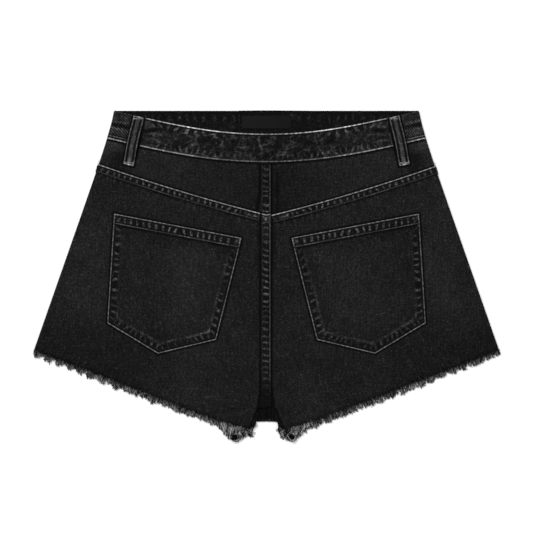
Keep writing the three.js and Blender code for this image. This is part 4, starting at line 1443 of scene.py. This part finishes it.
class Sewing:
    """Collects stitches, and makes them as one mesh."""

    def __init__(self, name, seed):
        self.name = name
        self.random = np.random.default_rng(seed)
        self.paths = []
        self.radii = []
        self.tones = []

    def add(self, ends, up, radius, rise, tone):
        """ends is (stitches, 2, 3), and up is the way they stand proud."""
        start, end = ends[:, 0], ends[:, 1]
        shares = np.array([0, 0.18, 0.5, 0.82, 1.0])
        lifts = np.array([-0.9, 0.5, 1.0, 0.5, -0.9]) * rise
        path = start[:, None] + (end - start)[:, None] * shares[None, :, None]
        path = path + up[:, None] * lifts[None, :, None]
        self.paths.append(path)
        size = np.array([0.6, 1.0, 1.1, 1.0, 0.6])[None] * radius
        self.radii.append(np.repeat(size, len(ends), 0))
        shade = tone * (1 + 0.25 * self.random.standard_normal(len(ends)))
        self.tones.append(np.repeat(np.clip(shade, 0.05, 0.9)[:, None], len(shares), 1))

    def row(self, points, up, pitch=3.6, gap=0.8, radius=0.25, rise=0.2, tone=0.1):
        """A row of stitches along points."""
        even = resample(points, pitch)
        ups = np.broadcast_to(np.asarray(up, float), (len(even) - 1, 3))
        run = np.diff(even, axis=0)
        length = np.linalg.norm(run, axis=1, keepdims=True)
        cut = run / np.maximum(length, 1e-9) * gap / 2
        ends = np.stack([even[:-1] + cut, even[1:] - cut], 1)
        self.add(ends, ups, radius, rise, tone)

    def tack(self, centre, way, across_way, length, width, count, up=(0, 0, 1), tone=0.34):
        """A bar tack: close stitches laid over each other."""
        way = np.asarray(way, float)
        across_way = np.asarray(across_way, float)
        places = np.linspace(-0.5, 0.5, count)
        start = centre + way * (places * length)[:, None] - across_way * width / 2
        end = centre + way * ((places + 0.4 / count) * length)[:, None] + across_way * width / 2
        ups = np.broadcast_to(np.asarray(up, float), (count, 3))
        self.add(np.stack([start, end], 1), ups, 0.3, 0.32, tone)

    def make(self):
        piece = tubes(
            self.name,
            np.concatenate(self.paths),
            np.concatenate(self.radii),
            np.concatenate(self.tones),
            sewing_thread,
            4,
        )
        dress(piece, [])


def on_back(hand, out, down, raised, band=False):
    """A point on the back's face. out is measured along the cloth, so it goes on round the side's fold."""
    radius = BAND_FOLD if band else FOLD_RADIUS
    end = side_at(down) - radius
    turn = np.clip((out - end) / radius, 0, math.radians(86))
    across = np.where(out > end, end + radius * np.sin(turn), out)
    height = band_height if band else back_height
    z = height(across, down) - radius * (1 - np.cos(turn))
    normal = np.stack([hand * np.sin(turn), 0 * turn, np.cos(turn)], -1)
    points = np.stack([hand * across, HALF_LENGTH - down, z], -1)
    return points + normal * raised


def sew_back():
    for side, hand in SIDES:
        work = Sewing("stitches_back_" + side, 301 + hand)
        first = CENTRE_SEAM_LEFT + 0.6
        out = np.arange(first, 214, 1.5)
        seam = yoke_at(hand)(out)
        for offset in (1.9, FELL_WIDTH - 1.7):
            work.row(on_back(hand, out, seam + offset, FELL + 0.04), (0, 0, 1))
        band_out = np.arange(0.0, 181, 1.5)
        within = np.minimum(band_out, 178)
        for down in (back_top_at(within) + 1.7, band_low_at(within) - 2.0):
            work.row(on_back(hand, band_out, down, 0.04, True), (0, 0, 1))
        pocket_stitches(work, hand)
        loop_stitches(work, hand)
        work.make()
    centre = Sewing("stitches_centre_seam", 311)
    for x in (CENTRE_SEAM_RIGHT - 2.1, -CENTRE_SEAM_LEFT + 2.1):
        down = np.arange(band_low_at(0) + 1.2, CROTCH_POINT - 3, 1.5)
        z = back_height(x, down) + FELL + 0.04
        line = np.stack([np.full_like(down, x), HALF_LENGTH - down, z], -1)
        centre.row(line, (0, 0, 1))
    centre.make()


def pocket_stitches(work, hand):
    corners = POCKET_OUTLINE
    middle = sum(corners) / len(corners)
    for offset, closed in ((1.9, True), (8.2, False)):
        inset = inset_outline(corners, offset)
        count = len(inset)
        for k in range(count):
            a, b = inset[k], inset[(k + 1) % count]
            steps = np.linspace(0, 1, 60)[:, None]
            spots = lerp(a, b, steps)
            raised = pocket_face(spots[:, 0], spots[:, 1]) + 0.06
            if k == 0 and not closed:
                spots = lerp(hem_line(corners)[0], hem_line(corners)[1], steps)
                raised = pocket_face(spots[:, 0], spots[:, 1]) + 0.06
            z = back_height(spots[:, 0], spots[:, 1]) + raised
            line = np.stack([hand * spots[:, 0], HALF_LENGTH - spots[:, 1], z], -1)
            work.row(line, (0, 0, 1))
    for corner, toward in ((corners[0], corners[4]), (corners[1], corners[2])):
        run = (toward - corner) / np.linalg.norm(toward - corner)
        inwards = (middle - corner) / np.linalg.norm(middle - corner)
        spot = corner + 1.6 * inwards + 3.2 * run
        z = back_height(*spot) + pocket_face(*spot) + 0.1
        centre = np.array([hand * spot[0], HALF_LENGTH - spot[1], z])
        way = np.array([hand * run[0], -run[1], 0])
        side = np.array([-way[1], way[0], 0])
        work.tack(centre, way, side, 6.0, 1.7, 14, tone=0.34)


def pocket_face(across, down):
    """How far the pocket's face stands above the back's."""
    top, along = pocket_distances(across, down)[0]
    share = np.clip(top / POCKET_DEPTH, 0, 1)
    along = np.clip(along / POCKET_MOUTH, 0, 1)
    gape = POCKET_GAPE * np.sin(np.pi * along) * (1 - share) ** 4
    hem = fade(POCKET_HEM_EDGE - 0.5, POCKET_HEM_EDGE + 0.5, top)
    return GAP + CLOTH + gape + POCKET_HEM_RAISE * hem


def inset_outline(corners, offset):
    """The outline moved in by offset."""
    lines = []
    for k, a in enumerate(corners):
        b = corners[(k + 1) % len(corners)]
        run = (b - a) / np.linalg.norm(b - a)
        inward = np.array([-run[1], run[0]])
        lines.append((a + inward * offset, run))
    inset = []
    for k in range(len(lines)):
        (p, r), (q, s) = lines[k - 1], lines[k]
        t = np.linalg.solve(np.stack([r, -s], 1), q - p)[0]
        inset.append(p + r * t)
    return inset


def hem_line(corners):
    """The pocket hem's second row of stitches, from side to side."""
    share = POCKET_HEM_SHARE - 1.9 / POCKET_DEPTH
    a = lerp(corners[0], corners[4], share)
    b = lerp(corners[1], corners[2], share)
    return a + (b - a) * 0.015, b - (b - a) * 0.015


def loop_stitches(work, hand):
    for side_share_of_width in (-0.34, 0.34):
        t = np.linspace(0.03, 0.97, 60)
        line, _ = loop_surface(hand, t, np.full_like(t, side_share_of_width))
        line[:, 2] += 0.05
        work.row(line, (0, 0, 1), pitch=3.2, tone=0.11)
    for t in (0.045, 0.955):
        centre, _ = loop_surface(hand, np.array([t]), np.array([0.0]))
        centre = centre[0] + np.array([0, 0, 0.1])
        work.tack(centre, (1, 0, 0), (0, 1, 0), LOOP["width"] - 1.5, 1.8, 20, tone=0.42)


def sew_front():
    """Rows that show on the underside: both edges of the band, and the fly."""
    work = Sewing("stitches_front", 331)
    below = (0, 0, -1)
    for _, hand in SIDES:
        end = -OVERLAP_END if hand < 0 else -UNDERLAP_END
        for level in (2.0, BAND_HEIGHT - 2.0):
            across = np.arange(end + 2, side_at(level) - BAND_FOLD, 2.0)
            stack = 0 if hand < 0 else BAND_STACK
            z = front_height(across, level) + lap_lift(across, level, stack) - 0.05
            line = np.stack([hand * across, np.full_like(across, HALF_LENGTH - level), z], -1)
            seen = line if hand < 0 else line[across > OVERLAP_END + 1]
            work.row(seen, below, tone=0.2)
    out, curve = FLY_ROWS["out"], FLY_ROWS["curve"]
    for inset in (0, FLY_ROWS["apart"]):
        down = np.arange(BAND_HEIGHT + 2, FLY["length"] - curve, 2.0)
        straight = np.full_like(down, out - inset)
        turn = np.linspace(0, math.pi / 2, 20)
        curve_down = FLY["length"] - curve + (curve - inset) * np.sin(turn)
        curve_across = out - inset - (out - 1 - inset) * (1 - np.cos(turn))
        across = np.concatenate([straight, curve_across])
        down = np.concatenate([down, curve_down])
        z = front_height(across, down) - 0.05
        work.row(np.stack([-across, HALF_LENGTH - down, z], -1), below, tone=0.2)
    work.make()


# Frayed hems


FRAY_STEPS = 8
FRAY_TAPER = np.array([0.9, 1.1, 1.15, 1.15, 1.1, 1.1, 1.0, 0.7])
TUFT = {"spacing": 12.6, "wander": 5.0, "run": 19, "share": 0.42, "depth": 0.9}
NOTCH = {"least": 0.2, "from": 150, "to": 205}  # gaps between tufts are deep only near the sides


def lock_lean(across, share, hand):
    slope = math.atan(HEM_SLOPE)
    wave = LOCK["wave"] * np.sin(share * LOCK["waves"] + hand)
    first = HEM_INNER + FOLD_RADIUS
    return slope + wave - SPLAY["turn"] * bell(across - first, SPLAY["run"])


def hanging_locks(hand, back, random, locks, threads):
    """Threads gathered into twisted locks along a hem. Returns their paths and tones."""
    first = HEM_INNER + 0.8
    last = HEM_SIDE - 0.3
    share = (np.arange(locks) + random.uniform(0.15, 0.85, locks)) / locks
    centre = lerp(first, last, share)
    across = centre[:, None, None]
    lean = (lock_lean(centre, share, hand) + random.normal(0, 0.16, locks))[:, None, None]
    varied = LOCK["least"] - 0.08 + LOCK["spread"] * random.uniform(0, 1, (locks, 1, 1)) ** 1.3
    shorter = SHORTEN["inner"] - SHORTEN["by"] * smooth(SHORTEN["from"], SHORTEN["to"], across)
    length = shorter * LOCK["length"] * varied
    t = np.linspace(0, 1, FRAY_STEPS)[None, None]
    shape = (locks, threads, 1)

    def pick(low, high):
        return random.uniform(low, high, shape)

    spread = (last - first) / locks * 0.62
    root = np.clip(across + pick(-spread, spread), first, last)
    edge = hem_at(root) + FRAY["gap"]
    tuft = (root + TUFT["wander"] * noise(root / TUFT["run"], hand, 407)) / TUFT["spacing"]
    near_side = lerp(NOTCH["least"], 1, smooth(NOTCH["from"], NOTCH["to"], root))
    notch = bell((tuft - np.floor(tuft)) * 2 - 1, TUFT["share"]) * near_side
    uneven = 0.85 + 0.15 * noise(root / 21, 2 * hand, 409)
    reach = length * pick(0.66, 1.06) * (1 - TUFT["depth"] * notch * uneven)
    turn = lean + random.normal(0, 0.09, shape) + random.normal(0, 0.2, shape) * t**2
    gather = pick(0.2, 0.8) * smooth(0.05, 0.8, t)
    coil = 0.34 * np.sin(np.pi * t) + 0.1
    twist = random.uniform(0, 2 * np.pi, shape) + t * pick(3.5, 7.5)
    sideways = coil * np.cos(twist)
    x = lerp(root, across, gather) + reach * t * np.sin(turn) + sideways * np.cos(turn)
    down = edge + pick(-2.4, 0.2) + (reach + 1.2) * t * np.cos(turn) - sideways * np.sin(turn)
    if back:
        root_z = back_height(root, edge) + pick(-0.7, 0.3)
        tip_z = 1.4 + pick(0.2, 2.4)
    else:
        root_z = 0.5 * CLOTH + pick(-0.2, 0.3)
        tip_z = 0.5 + pick(0.0, 0.7)
    past = np.maximum(root - (HEM_SIDE - FOLD_RADIUS), HEM_INNER + FOLD_RADIUS - root) / FOLD_RADIUS
    drop = FOLD_RADIUS * (1 - np.sqrt(1 - 0.96 * np.clip(past, 0, 1) ** 2))
    root_z = root_z - drop if back else root_z + 0.9 * drop
    z = np.maximum(lerp(root_z, tip_z, smooth(0, 1, t)) + 0.5 * coil * np.sin(twist), 0.5)
    x, down = around_hollow(hand, x, down)
    x = np.minimum(x, side_at(down) + 2.4)
    kept = clear_of_hollow(hand, x, down)
    paths = np.stack([hand * x, HALF_LENGTH - down, z], -1)[kept]
    dark = random.uniform(0, 1, shape) < (0.34 if back else 0.5)
    tone = np.where(dark, pick(0.04, 0.13), pick(0.2, 0.44)) * lerp(0.5, 1.15, smooth(0.0, 0.5, t))
    return paths, (tone * random.uniform(0.8, 1.15, (locks, 1, 1)))[kept]


# Where each leg's hem ends between the legs its threads are long, and curl round a dark hollow. Places are
# across and down, and "low" is how far down the threads reach.
CURLS = {
    -1: {
        "hollow": (36.2, 374.0),
        "fluff": (32.2, 364.0),
        "low": (
            (12.6, 361), (15.9, 364), (20.2, 372), (26.6, 378),
            (33, 381.5), (41.4, 379), (46.6, 376), (52, 367),
        ),
    },
    1: {
        "hollow": (29.1, 374.0),
        "fluff": (34.3, 364.0),
        "low": ((12.7, 371), (18.8, 376), (25.8, 381.5), (32.6, 378.5), (39, 376.5), (41, 371), (52, 362)),
    },
}
HOLLOW = {"across": 3.6, "down": 3.2, "wobble": 0.2}
LEG_TOP = 344
EDGE_TOP = 354


def around_hollow(hand, across, down):
    """Moves places out of the hollow."""
    x, d = CURLS[hand]["hollow"]
    out = (across - x) / HOLLOW["across"]
    below = (down - d) / HOLLOW["down"] - 0.25 * hand * out
    off = np.hypot(out, below) * (1 + HOLLOW["wobble"] * np.sin(3 * np.arctan2(below, out) + hand))
    grow = np.where(off < 1, (1 + 0.3 * off) / np.maximum(off, 0.1), 1)
    return x + (across - x) * grow, d + (down - d) * grow


def clear_of_hollow(hand, across, down):
    """Which threads don't cross the hollow."""
    x, d = CURLS[hand]["hollow"]
    clear = np.ones(across.shape[:-1], bool)
    for share in (0, 0.33, 0.67):
        out = (lerp(across[..., :-1], across[..., 1:], share) - x) / HOLLOW["across"]
        below = (lerp(down[..., :-1], down[..., 1:], share) - d) / HOLLOW["down"]
        clear &= (np.hypot(out, below) > 0.85).all(-1)
    return clear


def curled_corner(hand, random):
    """The threads at the leg's inner corner."""
    curl = CURLS[hand]
    t = np.linspace(0, 1, FRAY_STEPS)[None]
    paths = []
    tones = []

    def add(across, down, z, tone, anywhere=False):
        across, down, z, tone = np.broadcast_arrays(across, down, z, tone)
        kept = clear_of_hollow(hand, across, down) | anywhere
        path = np.stack([hand * across, HALF_LENGTH - down, np.maximum(z, 0.5)], -1)
        paths.append(path[kept])
        tones.append(tone[kept])

    count = CURL_THREADS["clump"]
    pick = lambda low, high: random.uniform(low, high, (count, 1))

    def mixed_tone():
        dark = random.uniform(0, 1, (count, 1)) < 0.48
        return np.where(dark, pick(0.02, 0.1), pick(0.26, 0.6)) * lerp(0.6, 1.1, smooth(0, 0.3, t))

    low_across, low_down = zip(*curl["low"])
    root = pick(low_across[0] + 1.5, low_across[-1])
    top = np.where(root < HEM_INNER, lerp(EDGE_TOP, hem_at(HEM_INNER), root / HEM_INNER), hem_at(root))
    end = root + pick(-4, 4)
    bottom = np.interp(end, low_across, low_down)
    reach = pick(0.6, 1.0)
    across = lerp(root, end, t) + pick(0.5, 1.9) * np.sin(pick(2, 7) * t + pick(0, 6.3))
    down = lerp(top - 1, bottom - 0.8, t * reach) + pick(0.2, 0.9) * np.sin(pick(3, 8) * t + pick(0, 6.3))
    down = np.minimum(down, np.interp(across, low_across, low_down) + pick(-0.6, 1.0))
    across, down = around_hollow(hand, across, down)
    add(across, down, lerp(pick(4.2, 6.2), pick(0.8, 4.4), t), mixed_tone())

    count = CURL_THREADS["each"]
    x, d = curl["hollow"]
    turn = pick(0, 6.3) + pick(0.8, 2.0) * t
    radius = pick(1.0, 1.45) + pick(-0.1, 0.25) * t
    ring_across, ring_down = around_hollow(
        hand, x + HOLLOW["across"] * radius * np.cos(turn), d + HOLLOW["down"] * radius * np.sin(turn)
    )
    add(ring_across, ring_down, pick(3.0, 5.4) + 0.8 * np.sin(3 * t), mixed_tone())
    # Near-black short threads inside the hollow are painted shade.
    turn = pick(0, 6.3) + pick(1, 3) * t
    radius = pick(0, 1.15)
    inside = x + HOLLOW["across"] * radius * np.cos(turn), d + HOLLOW["down"] * radius * np.sin(turn)
    add(*inside, pick(0.5, 1.6), 0.03, anywhere=True)

    x, d = curl["fluff"]
    turn = pick(0, 6.3)
    run = pick(-3.4, 3.4) * (t - 0.5) * 2
    bend = pick(-2.5, 2.5) * (t - 0.5) ** 2 * 2
    across = x + pick(-2.6, 2.6) + run * np.cos(turn) - bend * np.sin(turn)
    down = d + pick(-1.4, 1.4) + 0.7 * run * np.sin(turn) + bend * np.cos(turn)
    add(across, down, pick(5.8, 6.9), pick(0.26, 0.4))

    # dark threads along the leg's edge, near black as painted shade on the leg's fold
    down = pick(LEG_TOP, 366)
    reach = pick(4, 9) * t
    out = pick(-2.7, 0.8) * smooth(LEG_TOP - 2, 352, down)
    lean = HEM_INNER / 60 + pick(-0.12, 0.16) + pick(-0.2, 0.5) * t
    across = leg_at(down) + out + reach * np.sin(lean)
    add(across, down + reach * np.cos(lean), lerp(5.0, 1.6, t) + pick(-0.6, 0.6), pick(0.02, 0.1))
    return np.concatenate(paths), np.concatenate(tones)


def fray(side, hand, layer):
    back = layer == "back"
    random = np.random.default_rng({"back": 401, "front": 431}[layer] + hand)
    paths, tones = hanging_locks(hand, back, random, *THREADS[layer])
    if back:
        curls, curl_tones = curled_corner(hand, random)
        paths = np.concatenate([paths, curls])
        tones = np.concatenate([tones, curl_tones])
    size = random.uniform(0.24, 0.5, (len(paths), 1))
    piece = tubes("fray_threads_%s_%s" % (layer, side), paths, size * FRAY_TAPER, tones, fray_thread)
    dress(piece, ["fray_%s_%s" % (layer, side)])


# The garment

waistband_back()
label()
button()
for side_name, side_hand in SIDES:
    back_panel(side_name, side_hand)
    yoke(side_name, side_hand)
    front_panel(side_name, side_hand)
    crotch_fold(side_name, side_hand)
    waistband_front(side_name, side_hand)
    pocket(side_name, side_hand)
    belt_loop(side_name, side_hand)
    fray(side_name, side_hand, "back")
    fray(side_name, side_hand, "front")
sew_back()
sew_front()


# Floor, lights and camera

FLOOR_HALF = 4.0
FLOOR_LEVEL = -0.0006
CAMERA_PLACE = (0.0, 0.0119, 1.7005)
CAMERA_LENS = 100
LIGHTS = {"key": ((-0.5, 0.7, 1.9), 1.1, 34), "fill": ((0.9, -0.6, 2.2), 1.8, 12)}  # place, size, power


def floor():
    mesh = bpy.data.meshes.new("floor")
    corners = [(x * FLOOR_HALF, y * FLOOR_HALF, FLOOR_LEVEL) for x, y in ((-1, -1), (1, -1), (1, 1), (-1, 1))]
    mesh.from_pydata(corners, [], [(0, 1, 2, 3)])
    m = Nodes("floor")
    m.shader.inputs["Base Color"].default_value = (0.93, 0.93, 0.93, 1)
    m.shader.inputs["Roughness"].default_value = 0.9
    m.shader.inputs["Specular IOR Level"].default_value = 0.1
    new_object("floor", mesh, m.material)


def area_light(name, place, size, power):
    light = bpy.data.lights.new(name, "AREA")
    light.size = size
    light.energy = power
    made = bpy.data.objects.new(name, light)
    made.location = place
    aim = -np.array(place, float)
    made.rotation_euler = Vector(aim).to_track_quat("-Z", "Y").to_euler()
    bpy.context.scene.collection.objects.link(made)


floor()
for light_name, (light_place, light_size, light_power) in LIGHTS.items():
    area_light(light_name, light_place, light_size, light_power)

world = bpy.data.worlds.new("studio")
world.use_nodes = True
world.node_tree.nodes["Background"].inputs["Color"].default_value = (1, 1, 1, 1)
world.node_tree.nodes["Background"].inputs["Strength"].default_value = 0.5
bpy.context.scene.world = world
bpy.context.scene.view_settings.view_transform = "Standard"

camera_data = bpy.data.cameras.new("camera")
camera_data.lens = CAMERA_LENS
camera_data.sensor_width = 36
camera_data.clip_end = 20
camera = bpy.data.objects.new("camera", camera_data)
camera.location = CAMERA_PLACE
bpy.context.scene.collection.objects.link(camera)
bpy.context.scene.camera = camera
